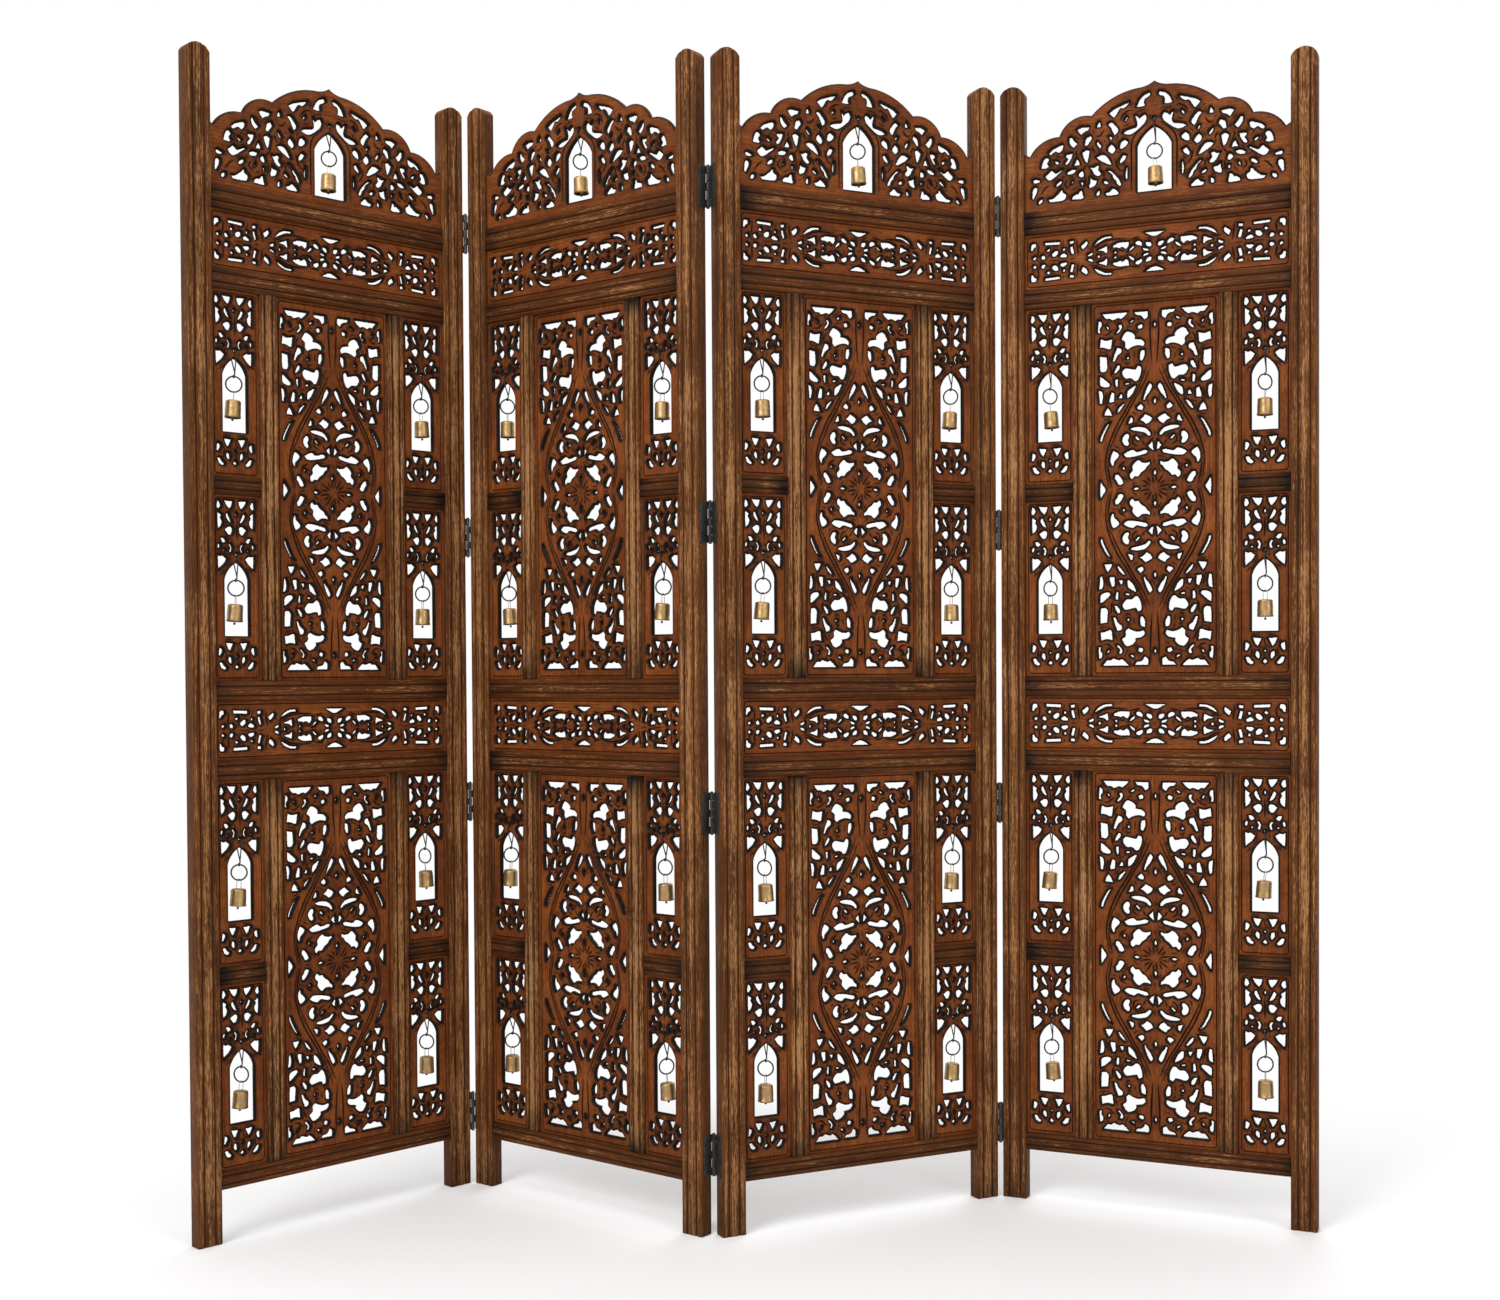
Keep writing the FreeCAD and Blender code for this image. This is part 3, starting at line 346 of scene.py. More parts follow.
# One half of the crest, from the middle of its foot: leaf field about the window
CREST_CUTS = (
    ((8, 172), (6, 168), (10, 164), (15, 162), (16, 156), (15, 151), (22, 150), (29, 151), (25, 160),
     (18, 168)),
    ((73, 147), (66, 152), (50, 158), (39, 161), (42, 156), (49, 151), (54, 152), (60, 143), (64, 138),
     (68, 141)),
    ((88, 136), (86, 130), (86, 126), (93, 126), (92, 131)),
    ((31, 138), (27, 136), (24, 132), (20, 136), (15, 138), (12, 132), (15, 124), (23, 117), (31, 111),
     (38, 108), (45, 109), (51, 112), (45, 116), (36, 118), (29, 120), (28, 126)),
    ((44, 138), (42, 135), (46, 130), (48, 132)),
    ((75, 129), (71, 132), (67, 131), (58, 120), (58, 115), (63, 110), (66, 114), (70, 123)),
    ((125, 127), (118, 130), (104, 129), (106, 124), (113, 121), (118, 117), (122, 122)),
    ((138, 115), (134, 116), (130, 110), (124, 104), (130, 98), (134, 101), (138, 108)),
    ((110, 112), (103, 115), (100, 110), (104, 104), (108, 99), (113, 100), (112, 106)),
    ((73, 109), (70, 110), (67, 105), (70, 103)),
    ((92, 104), (88, 100), (85, 95), (87, 92), (91, 96), (93, 101)),
    ((172, 94), (166, 100), (150, 106), (147, 104), (149, 97), (155, 93), (160, 96), (168, 91)),
    ((54, 98), (48, 102), (42, 97), (44, 92), (52, 87), (56, 89)),
    ((73, 94), (69, 97), (66, 94), (62, 87), (67, 81), (71, 83), (75, 88)),
    ((180, 86), (175, 88), (171, 84), (174, 78), (171, 73), (176, 70), (185, 71), (184, 77)),
    ((162, 81), (158, 80), (154, 77), (157, 74), (161, 77)),
    ((143, 89), (132, 90), (133, 84), (139, 74), (143, 72), (145, 75), (140, 82), (144, 86)),
    ((117, 89), (110, 93), (104, 90), (106, 78), (108, 71), (112, 75), (115, 82)),
    ((126, 80), (122, 76), (120, 69), (131, 69), (129, 73)),
    ((94, 79), (86, 82), (80, 81), (74, 75), (68, 64), (72, 64), (80, 68), (88, 73)),
    ((55, 71), (50, 78), (44, 75), (47, 69), (54, 64), (56, 67)),
    ((178, 58), (168, 67), (164, 64), (161, 61), (148, 67), (147, 65), (155, 59), (163, 53), (170, 50),
     (176, 54)),
    ((142, 60), (134, 64), (126, 63), (129, 58), (134, 56), (141, 56)),
    ((122, 57), (117, 60), (114, 56), (114, 50), (118, 49), (123, 53)),
    ((104, 64), (98, 63), (92, 66), (88, 64), (90, 58), (86, 53), (87, 49), (91, 48), (97, 52), (100, 58)),
    ((76, 55), (71, 55), (62, 46), (56, 38), (53, 30), (55, 28), (60, 32), (62, 38), (66, 42), (68, 48)),
    ((45, 57), (43, 56), (43, 38), (45, 36), (47, 44)),
    ((198, 54), (194, 55), (186, 52), (187, 49), (195, 48), (198, 50)),
    ((160, 42), (155, 47), (150, 48), (150, 44), (157, 39), (160, 39)),
    ((133, 45), (131, 46), (131, 42), (135, 38)),
    ((119, 42), (115, 42), (115, 37), (118, 36)),
    ((104, 48), (100, 44), (92, 42), (95, 34), (104, 30), (106, 34), (104, 40)),
    ((81, 40), (77, 39), (73, 35), (77, 33), (82, 37)),
    ((199, 39), (195, 42), (191, 40), (191, 34), (193, 30), (197, 22), (200, 24)),
    ((188, 20), (182, 22), (182, 17), (187, 13), (190, 15)),
    ((173, 20), (165, 21), (160, 25), (155, 29), (152, 33), (149, 33), (148, 28), (143, 25), (144, 18),
     (148, 15), (170, 15)),
    ((133, 20), (126, 24), (124, 23), (121, 28), (117, 29), (114, 16), (118, 14), (134, 15)),
    ((92, 24), (88, 26), (88, 18), (92, 16), (94, 19)),
    ((79, 20), (72, 22), (68, 26), (64, 25), (57, 18), (58, 15), (76, 15)),
)
CREST_STROKES = (
    ((36, 16), (36, 50), (36, 90), (32, 103), (22, 113), (10, 122)),
    ((34, 145), (40, 146), (50, 140), (54, 132)),
    ((80, 120), (86, 112), (94, 112)),
    ((100, 96), (96, 86), (98, 74)),
    ((124, 94), (126, 88), (122, 84)),
    ((150, 86), (152, 72), (148, 74)),
    ((162, 70), (168, 76), (166, 86)),
    ((108, 66), (112, 64), (110, 48), (112, 30)),
    ((84, 58), (80, 48), (86, 32)),
    ((140, 48), (144, 40), (138, 32)),
    ((170, 42), (178, 36), (184, 28)),
    ((62, 72), (58, 58), (50, 48)),
)
CREST_LOBES = (
    ((203, 92), (182, 113), (154, 119)),
    ((154, 119), (135, 142), (101, 146)),
    ((101, 146), (65, 171), (22, 181)),
    ((22, 181), (9, 184), (0, 189)),
)
CREST_SHOULDER = 97

# Windows, as half width, sill, apex, rise of the arch and how far the arch swells past its chord
Window = namedtuple("Window", "half sill apex rise swell")
BELL_WINDOW = Window(20, -73.8, 39.2, 26, 3.5)
CREST_WINDOW = Window(27, 15, 117, 29, 3.5)
HANGER_HOLE_ABOVE_APEX = 12.95
HANGER_HOLE_RADIUS = 1.95


# Lines and loops


def unit(vectors):
    """Vectors of length one."""
    length = np.linalg.norm(vectors, axis=-1, keepdims=True)
    return vectors / np.maximum(length, 1e-9)


def flowing(points, closed):
    """Points along a smooth line through given ones, where a tip that turns sharply stays sharp."""
    points = np.array(points, float)
    ahead = np.roll(points, -1, 0) - points
    behind = points - np.roll(points, 1, 0)
    if not closed:
        ahead[-1] = behind[-1]
        behind[0] = ahead[0]
    reach = np.minimum(np.linalg.norm(ahead, axis=1), np.linalg.norm(behind, axis=1))
    heading = unit(unit(ahead) + unit(behind))
    cosine = (unit(ahead) * unit(behind)).sum(1)
    sharp = np.arccos(np.clip(cosine, -1, 1)) > TIP_TURN
    line = []
    last = len(points) if closed else len(points) - 1
    for i in range(last):
        j = (i + 1) % len(points)
        run = points[j] - points[i]
        leave = run if sharp[i] else heading[i] * reach[i]
        arrive = run if sharp[j] else heading[j] * reach[j]
        count = max(2, round(float(np.linalg.norm(run)) / LOOP_STEP))
        for t in np.arange(count) / count:
            line.append(
                (2 * t**3 - 3 * t**2 + 1) * points[i]
                + (t**3 - 2 * t**2 + t) * leave
                + (3 * t**2 - 2 * t**3) * points[j]
                + (t**3 - t**2) * arrive
            )
    if not closed:
        line.append(points[-1])
    return np.array(line)


def straight(start, end):
    """Evenly spaced points from start up to, and without, end."""
    start, end = np.array(start, float), np.array(end, float)
    count = max(1, round(float(np.linalg.norm(end - start)) / LOOP_STEP))
    return [start + (end - start) * step / count for step in range(count)]


def arc(start, middle, end):
    """Evenly spaced points round the circle through three points, without the last one."""
    (ax, ay), (bx, by), (cx, cy) = start, middle, end
    spread = 2 * (ax * (by - cy) + bx * (cy - ay) + cx * (ay - by))
    square_a, square_b, square_c = ax**2 + ay**2, bx**2 + by**2, cx**2 + cy**2
    x = (square_a * (by - cy) + square_b * (cy - ay) + square_c * (ay - by)) / spread
    y = (square_a * (cx - bx) + square_b * (ax - cx) + square_c * (bx - ax)) / spread
    radius = math.hypot(ax - x, ay - y)
    first = math.atan2(ay - y, ax - x)
    turn = math.remainder(math.atan2(cy - y, cx - x) - first, math.tau)
    count = max(2, round(abs(turn) * radius / LOOP_STEP))
    angles = [first + turn * step / count for step in range(count)]
    return [np.array((x + radius * math.cos(a), y + radius * math.sin(a))) for a in angles]


def circle(middle, radius):
    """A round cut."""
    angles = [math.tau * step / DOT_SIDES for step in range(DOT_SIDES)]
    return np.array([(middle[0] + radius * math.cos(a), middle[1] + radius * math.sin(a)) for a in angles])


def counterclockwise(loop):
    """The loop with its inside on the left."""
    x, y = loop.T
    area = (x * np.roll(y, -1) - np.roll(x, -1) * y).sum()
    return loop if area > 0 else loop[::-1]


def mirrored(lines, mirrors):
    """Copies of drawn lines on each side of a board's axes."""
    return [np.array(line, float) * flip for line in lines for flip in mirrors]


def outward(loop):
    """The direction to the right of a closed line at each of its points."""
    heading = unit(unit(np.roll(loop, -1, 0) - loop) + unit(loop - np.roll(loop, 1, 0)))
    return np.stack([heading[:, 1], -heading[:, 0]], 1)


def toothed(loop, chance):
    """A cut's edge with the small teeth that a gouge leaves; a small cut stays smooth."""
    if len(loop) < TOOTH_FROM_POINTS:
        return loop
    ahead = unit(np.roll(loop, -1, 0) - loop)
    runs_on = np.clip((ahead * np.roll(ahead, 1, 0)).sum(1), 0, 1) ** TOOTH_FADE
    bites = [TOOTH_BITE * chance.random() * (-1) ** index for index in range(len(loop))]
    return loop + outward(loop) * (np.array(bites) * runs_on)[:, None]


def cut_loops(cuts, mirrors):
    """Closed cuts through given points, each with its own teeth."""
    chance = random.Random(TOOTH_SEED)
    return [toothed(flowing(cut, True), chance) for cut in mirrored(cuts, mirrors)]


def dot_loops(dots, mirrors):
    """Small drilled cuts."""
    return [circle(np.array(middle) * flip, radius) for middle, radius in dots for flip in mirrors]


def window_loop(window):
    """A pointed-arch window."""
    half, sill, apex = window.half, window.sill, window.apex
    spring = apex - window.rise
    chord = math.hypot(half, apex - spring)
    crown = (
        half / 2 + window.swell * (apex - spring) / chord,
        (spring + apex) / 2 + window.swell * half / chord,
    )
    line = straight((-half, sill), (half, sill)) + straight((half, sill), (half, spring))
    line += arc((half, spring), crown, (0, apex)) + arc((0, apex), (-crown[0], crown[1]), (-half, spring))
    return np.array(line + straight((-half, spring), (-half, sill)))


def rectangle_loop(half_width, low, high):
    """A board's outline."""
    corners = [(-half_width, low), (half_width, low), (half_width, high), (-half_width, high)]
    line = []
    for start, end in zip(corners, corners[1:] + corners[:1]):
        line += straight(start, end)
    return np.array(line)


def rim_loop(half_width, low, high):
    """A line with rounded corners round a board's face, a little inside the bars that hold it."""
    inset = SEAT + RIM_INSET
    half_width, low, high = half_width - inset, low + inset, high - inset
    cut_across = RIM_CORNER * (1 - math.sqrt(0.5))
    corners = ((half_width, low), (half_width, high), (-half_width, high), (-half_width, low))
    bends = []
    for u, z in corners:
        into_u, into_z = -math.copysign(1, u), -math.copysign(1, z)
        beside = (u + into_u * RIM_CORNER, z)
        above = (u, z + into_z * RIM_CORNER)
        crown = (u + into_u * cut_across, z + into_z * cut_across)
        comes_from_beside = u * z < 0
        bends.append((beside, crown, above) if comes_from_beside else (above, crown, beside))
    line = []
    for bend, following in zip(bends, bends[1:] + bends[:1]):
        line += arc(*bend) + straight(bend[2], following[0])
    return np.array(line)


def crest_loop():
    """The crest's outline, with its seat in the frame and its lobes."""
    half = HALF_OPENING + SEAT
    line = straight((-half, -SEAT), (half, -SEAT)) + straight((half, -SEAT), (half, CREST_SHOULDER))
    line += straight((half, CREST_SHOULDER), (HALF_OPENING, CREST_SHOULDER))
    line += straight((HALF_OPENING, CREST_SHOULDER), CREST_LOBES[0][0])
    for lobe in CREST_LOBES:
        line += arc(*lobe)
    for lobe in reversed(CREST_LOBES):
        line += arc(*[(-u, z) for u, z in reversed(lobe)])
    line += straight((-CREST_LOBES[0][0][0], CREST_LOBES[0][0][1]), (-HALF_OPENING, CREST_SHOULDER))
    line += straight((-HALF_OPENING, CREST_SHOULDER), (-half, CREST_SHOULDER))
    return np.array(line + straight((-half, CREST_SHOULDER), (-half, -SEAT)))


# Meshes

GRAIN_SPREAD = 4.0


class Blank:
    """The points, wear, faces and finishes of one mesh while it is made, in millimetres.

    Wear is how hollow and burnt a point is, which also paints shade in grooves and cuts, how raised and
    rubbed, which also paints highlights on reeds and edges, and how sooty from joints or close cuts.
    """

    def __init__(self):
        self.points = []
        self.wear = []
        self.faces = []
        self.slots = []

    def add(self, points, wear, faces, slot=0):
        """Adds a shape; wear is one triple for all of its points, or one for each."""
        start = len(self.points)
        wear = np.broadcast_to(np.array(wear, float), (len(points), 3))
        self.points.extend(tuple(point) for point in points)
        self.wear.extend(tuple(triple) for triple in wear)
        self.faces.extend(tuple(start + index for index in face) for face in faces)
        self.slots.extend([slot] * len(faces))

    def join(self, faces):
        """Adds faces between points that are there already."""
        self.faces.extend(faces)
        self.slots.extend([0] * len(faces))

    def mesh(self, name, finishes, sharp_degrees):
        """A smooth-shaded mesh in metres that keeps edges sharper than an angle."""
        made = bpy.data.meshes.new(name)
        made.from_pydata((np.array(self.points) * MM).tolist(), [], self.faces)
        for finish in finishes:
            made.materials.append(finish)
        made.polygons.foreach_set("material_index", self.slots)
        made.polygons.foreach_set("use_smooth", [True] * len(self.faces))
        made.set_sharp_from_angle(angle=math.radians(sharp_degrees))
        wear = made.attributes.new("wear", "FLOAT_VECTOR", "POINT")
        wear.data.foreach_set("vector", np.array(self.wear).ravel())
        made.validate()
        return made


def lay_grain(mesh, along, chance):
    """Stores where each point lies in the timber, with the grain along one axis and a place by chance."""
    points = np.empty(len(mesh.vertices) * 3)
    mesh.vertices.foreach_get("co", points)
    points = points.reshape(-1, 3)
    order = (0, 1, 2) if along == "z" else (2, 1, 0)
    place = points[:, order] + [chance.uniform(0, GRAIN_SPREAD) for _ in order]
    grain = mesh.attributes.get("grain") or mesh.attributes.new("grain", "FLOAT_VECTOR", "POINT")
    grain.data.foreach_set("vector", place.ravel())


def put(name, mesh, place, body, nodes):
    """Sets a piece in its place, where it rides on a body and stands for CAD nodes."""
    piece = bpy.data.objects.new(name, mesh)
    bpy.context.scene.collection.objects.link(piece)
    piece.matrix_world = place
    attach(piece, body)
    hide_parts(*nodes)


def bridge(count, start, other, flip=False):
    """Quads between two closed rings of points."""
    quads = []
    for i in range(count):
        j = (i + 1) % count
        quad = (start + i, start + j, other + j, other + i)
        quads.append(quad[::-1] if flip else quad)
    return quads


def tube(path, radius, sides, normal, closed=False):
    """Points and faces of a round wire along a path that lies near the plane of a normal."""
    path = np.array(path, float)
    if closed:
        along = unit(np.roll(path, -1, 0) - np.roll(path, 1, 0))
    else:
        along = unit(np.gradient(path, axis=0))
    out = unit(np.cross(along, np.array(normal, float)))
    rise = np.cross(out, along)
    angles = np.arange(sides) * math.tau / sides
    rings = path[:, None] + radius * (
        out[:, None] * np.cos(angles)[None, :, None] + rise[:, None] * np.sin(angles)[None, :, None]
    )
    count = len(path)
    faces = []
    for i in range(count if closed else count - 1):
        faces += bridge(sides, i * sides, (i + 1) % count * sides, flip=True)
    if not closed:
        faces.append(tuple(range(sides)))
        faces.append(tuple(reversed(range((count - 1) * sides, count * sides))))
    return rings.reshape(-1, 3), faces


def lathe(profile, sides, closed=False):
    """Points and faces of a profile of (radius, z) from its foot up, turned about the upright axis."""
    angles = np.arange(sides) * math.tau / sides
    points = [(r * math.cos(a), r * math.sin(a), z) for r, z in profile for a in angles]
    faces = []
    count = len(profile)
    for i in range(count if closed else count - 1):
        faces += bridge(sides, i * sides, (i + 1) % count * sides)
    if not closed:
        faces.append(tuple(reversed(range(sides))))
        faces.append(tuple(range((count - 1) * sides, count * sides)))
    return points, faces


# Reeded bars

SOOT_REACH = 26.0
FOOT_SOOT = 0.5
FOOT_SOOT_REACH = 40
SHAFT_STEP = 40
CORNER_ANGLES = (0, math.pi / 6, math.pi / 3)
# Rub on the bars' edges and reeds is rubbed stain and painted highlight; burn in the grooves is burnt stain
# and painted shade.
CORNER_RUB_AND_HIGHLIGHT = 0.4
REED_POINTS = 7
OUTER_REED_RUB_AND_HIGHLIGHT = 0.7
REED_GROOVE_BURN_AND_SHADE = (0.62, 0.0)
ARCH_EASE = 3.0
BAR_SHARP = 38


def reeded_half(width, sizes):
    """Over one face of a bar from edge to edge: across, drop below the crown, hollow, ridge. Hollow paints
    shade in the grooves and on the sides of the reeds and the bar, and ridge paints highlights on the edges
    and reed crowns, over burnt and rubbed stain.
    """
    half = width / 2
    edge = sizes.edge_round / MM
    groove = width * sizes.centre_reed / 2
    lip = sizes.reed_groove / MM / 2
    depth = sizes.reed_depth / MM
    crown = sizes.reed_crown / MM
    line = []
    for angle in CORNER_ANGLES:
        across, up = math.cos(angle), math.sin(angle)
        # Edges: painted highlight along them, and painted shade darker towards the bar's side.
        line.append((-half + edge * (1 - across), edge * (1 - up), 0.3 - 0.2 * up, CORNER_RUB_AND_HIGHLIGHT))
    reeds = ((-half + edge, -groove - lip), (-groove + lip, groove - lip), (groove + lip, half - edge))
    for number, (start, end) in enumerate(reeds):
        if number:
            # Groove bottoms are painted dark: burnt stain and painted shade.
            line.append(((reeds[number - 1][1] + start) / 2, depth, *REED_GROOVE_BURN_AND_SHADE))
        middle = (start + end) / 2
        reach = (end - start) / 2
        # The middle reed is painted lightest: rubbed stain and painted highlight.
        rub_and_highlight_share = 1.0 if number == 1 else OUTER_REED_RUB_AND_HIGHLIGHT
        for step in np.linspace(-1, 1, REED_POINTS):
            # Each reed is painted lighter at its crown and darker at its sides: painted highlight and painted
            # shade, over rubbed and burnt stain.
            rubbed = rub_and_highlight_share * (1 - 0.5 * step**2)
            line.append((middle + reach * step, crown * step**2, 0.2 * step**6, rubbed))
    corner = line[: len(CORNER_ANGLES)]
    return line + [(-across, *rest) for across, *rest in reversed(corner)]


def bar_rings(half_line, thickness, inset):
    """One ring of a bar's section, front and then back, drawn in by an inset."""
    width = -half_line[0][0]
    squeeze = 1 - inset / width
    front = [(across * squeeze, -(thickness / 2 - drop - inset)) for across, drop, _, _ in half_line]
    return front + [(across, -depth) for across, depth in reversed(front)]


def bar_soot(along, length, stands_free):
    """How sooty a bar is: at its foot if its head stands free, and else at both of its joints."""
    if stands_free:
        return FOOT_SOOT * math.exp(-along / FOOT_SOOT_REACH)
    return math.exp(-min(along, length - along) / SOOT_REACH)


def reeded_bar(width, thickness, length, sizes, lying=False, arch_rise=0.0):
    """A bar from 0 to its length along its grain, upright or lying, with a plain or an arched top."""
    half_line = reeded_half(width, sizes)
    soften = sizes.end_bevel / MM
    wear_and_light_line = [(hollow, ridge) for _, _, hollow, ridge in half_line]
    wear_and_light_line += wear_and_light_line[::-1]
    count = len(wear_and_light_line)
    arch_radius = (arch_rise**2 + (width / 2) ** 2) / (2 * arch_rise) if arch_rise else 0.0
    spring = length - arch_rise
    steps = max(2, round(spring / SHAFT_STEP))
    shaft = spring - 2 * soften - (ARCH_EASE if arch_rise else 0.0)
    levels = [(0.0, soften), (soften, 0.0)]
    levels += [(soften + shaft * step / steps, 0.0) for step in range(1, steps + 1)]
    levels += [(spring, soften)] if not arch_rise else [(length - soften, 0.0), (length, soften)]
    points, wear = [], []
    for number, (level, inset) in enumerate(levels):
        ring = bar_rings(half_line, thickness, inset)
        for (across, depth), (hollow, ridge) in zip(ring, wear_and_light_line):
            along = level
            if arch_rise and number >= len(levels) - 2:
                along -= arch_radius - math.sqrt(arch_radius**2 - across**2)
            points.append((across, depth, along))
            wear.append((hollow, ridge, bar_soot(along, length, arch_rise > 0)))
    faces = []
    for number in range(len(levels) - 1):
        faces += bridge(count, number * count, (number + 1) * count)
    top = (len(levels) - 1) * count
    for i in range(count // 2 - 1):
        across = (i, i + 1, count - 2 - i, count - 1 - i)
        faces.append(across[::-1])
        faces.append(tuple(top + index for index in across))
    if lying:
        points = [(along, depth, across) for across, depth, along in points]
        faces = [face[::-1] for face in faces]
    blank = Blank()
    blank.add(points, wear, faces)
    return blank


# Carved boards

BOARD_SHARP = 50


def tree_of(points):
    """A search tree over points of a drawing."""
    tree = kdtree.KDTree(max(1, len(points)))
    for index, (u, z) in enumerate(points):
        tree.insert((u, z, 0), index)
    tree.balance()
    return tree


def gap(point, tree):
    """The distance from a point to the nearest one in a search tree."""
    return tree.find((point[0], point[1], 0))[2]


def edge_rings(loops, exact):
    """Each loop's wall and its ring on the board's face, eased back as far as the next cut leaves room.

    Walls lean into their cuts. The outline's and those of the first exact cuts stand where they are drawn.
    """
    tree = tree_of([point for loop in loops for point in loop])
    owner = [number for number, loop in enumerate(loops) for _ in loop]
    walls, rings = [], []
    for number, loop in enumerate(loops):
        out = outward(loop) if number else -outward(loop)
        lean = WALL_LEAN if number > exact else 0.0
        reach = []
        for point, side in zip(loop, out):
            room = EDGE_BEVEL
            for near, index, distance in tree.find_range((point[0], point[1], 0), EDGE_SEARCH):
                across = side @ (np.array(near[:2]) - point)
                faces_it = distance > SAME_POINT and across > ACROSS_LAND * distance
                if owner[index] != number or faces_it:
                    room = min(room, EDGE_SHARE_OF_GAP * distance)
            reach.append(room)
        eased = out * np.array(reach)[:, None]
        walls.append(loop - eased * lean)
        rings.append(loop + eased)
    return walls, rings, tree


def groove_runs(strokes, tree):
    """The stretches of drawn strokes that keep clear of every cut."""
    runs = []
    for stroke in strokes:
        run = []
        for point in flowing(stroke, False):
            if gap(point, tree) > GROOVE.half_width + GROOVE_MARGIN:
                run.append(point)
                continue
            runs.append(run)
            run = []
        runs.append(run)
    return [np.array(run) for run in runs if len(run) >= LEAST_RUN]


def inside_any(points, loops):
    """Whether each point lies inside one of the loops."""
    u, z = points.T
    found = np.zeros(len(points), bool)
    for loop in loops:
        inside = np.zeros(len(points), bool)
        for (u0, z0), (u1, z1) in zip(loop, np.roll(loop, -1, 0)):
            if z0 != z1:
                inside ^= ((z0 > z) != (z1 > z)) & (u < u0 + (u1 - u0) * (z - z0) / (z1 - z0))
        found |= inside
    return found


def between_cuts(point, tree):
    """Whether a cut also lies about as near on the far side of a point."""
    away, distance = from_nearest(point, tree)
    if not VEIN_CLEAR < distance < VEIN_FAR:
        return False
    beyond = point + away * distance * FAR_SIDE
    return from_nearest(beyond, tree)[1] < FAR_SIDE_NEAR * distance


def from_nearest(point, tree):
    """The direction from the nearest cut to a point, and the distance."""
    near, _, distance = tree.find((point[0], point[1], 0))
    return (point - np.array(near[:2])) / max(distance, 1e-6), distance


def vein(seed, tree):
    """A line both ways from a seed along the middle of the leaf or stem that it lies on."""
    for step in VEIN_CENTRING:
        away, _ = from_nearest(seed, tree)
        seed = seed + away * step
    away, _ = from_nearest(seed, tree)
    halves = []
    for way in (1, -1):
        heading = np.array((-away[1], away[0])) * way
        point, half = seed, []
        for _ in range(VEIN_STEPS):
            point = point + heading * VEIN_STEP
            if not between_cuts(point, tree):
                break
            side, _ = from_nearest(point, tree)
            point = point + side * VEIN_PUSH
            turned = np.array((-side[1], side[0]))
            turned = turned if turned @ heading > 0 else -turned
            heading = unit(heading + VEIN_BEND * turned)
            half.append(point)
        halves.append(half)
    return np.array(halves[1][::-1] + [seed] + halves[0])


def vein_runs(loops, tree, grooves):
    """Short engraved veins between the cuts, clear of the outline, of the grooves and of each other."""
    outline = tree_of(loops[0])
    low, high = loops[0].min(0), loops[0].max(0)
    across = np.arange(low[0], high[0], VEIN_SEED_PITCH)
    up = np.arange(low[1], high[1], VEIN_SEED_PITCH)
    seeds = np.stack(np.meshgrid(across, up), -1).reshape(-1, 2)
    seeds = seeds[inside_any(seeds, loops[:1]) & ~inside_any(seeds, loops[1:])]
    taken = [point for run in grooves for point in run]
    runs = []
    for seed in seeds:
        if gap(seed, outline) < VEIN_FROM_OUTLINE:
            continue
        if not VEIN_CLEAR < gap(seed, tree) < VEIN_FAR:
            continue
        run = vein(seed, tree)
        if len(run) < LEAST_RUN:
            continue
        if taken and np.linalg.norm(np.array(taken)[None] - run[:, None], axis=2).min() < VEIN_APART:
            continue
        taken.extend(run)
        runs.append(run)
    return runs


def sunk(distance):
    """How far the rounded face lies below its crown, at a distance from a cut."""
    return SURFACE_SINK * math.exp(-distance / SURFACE_REACH)


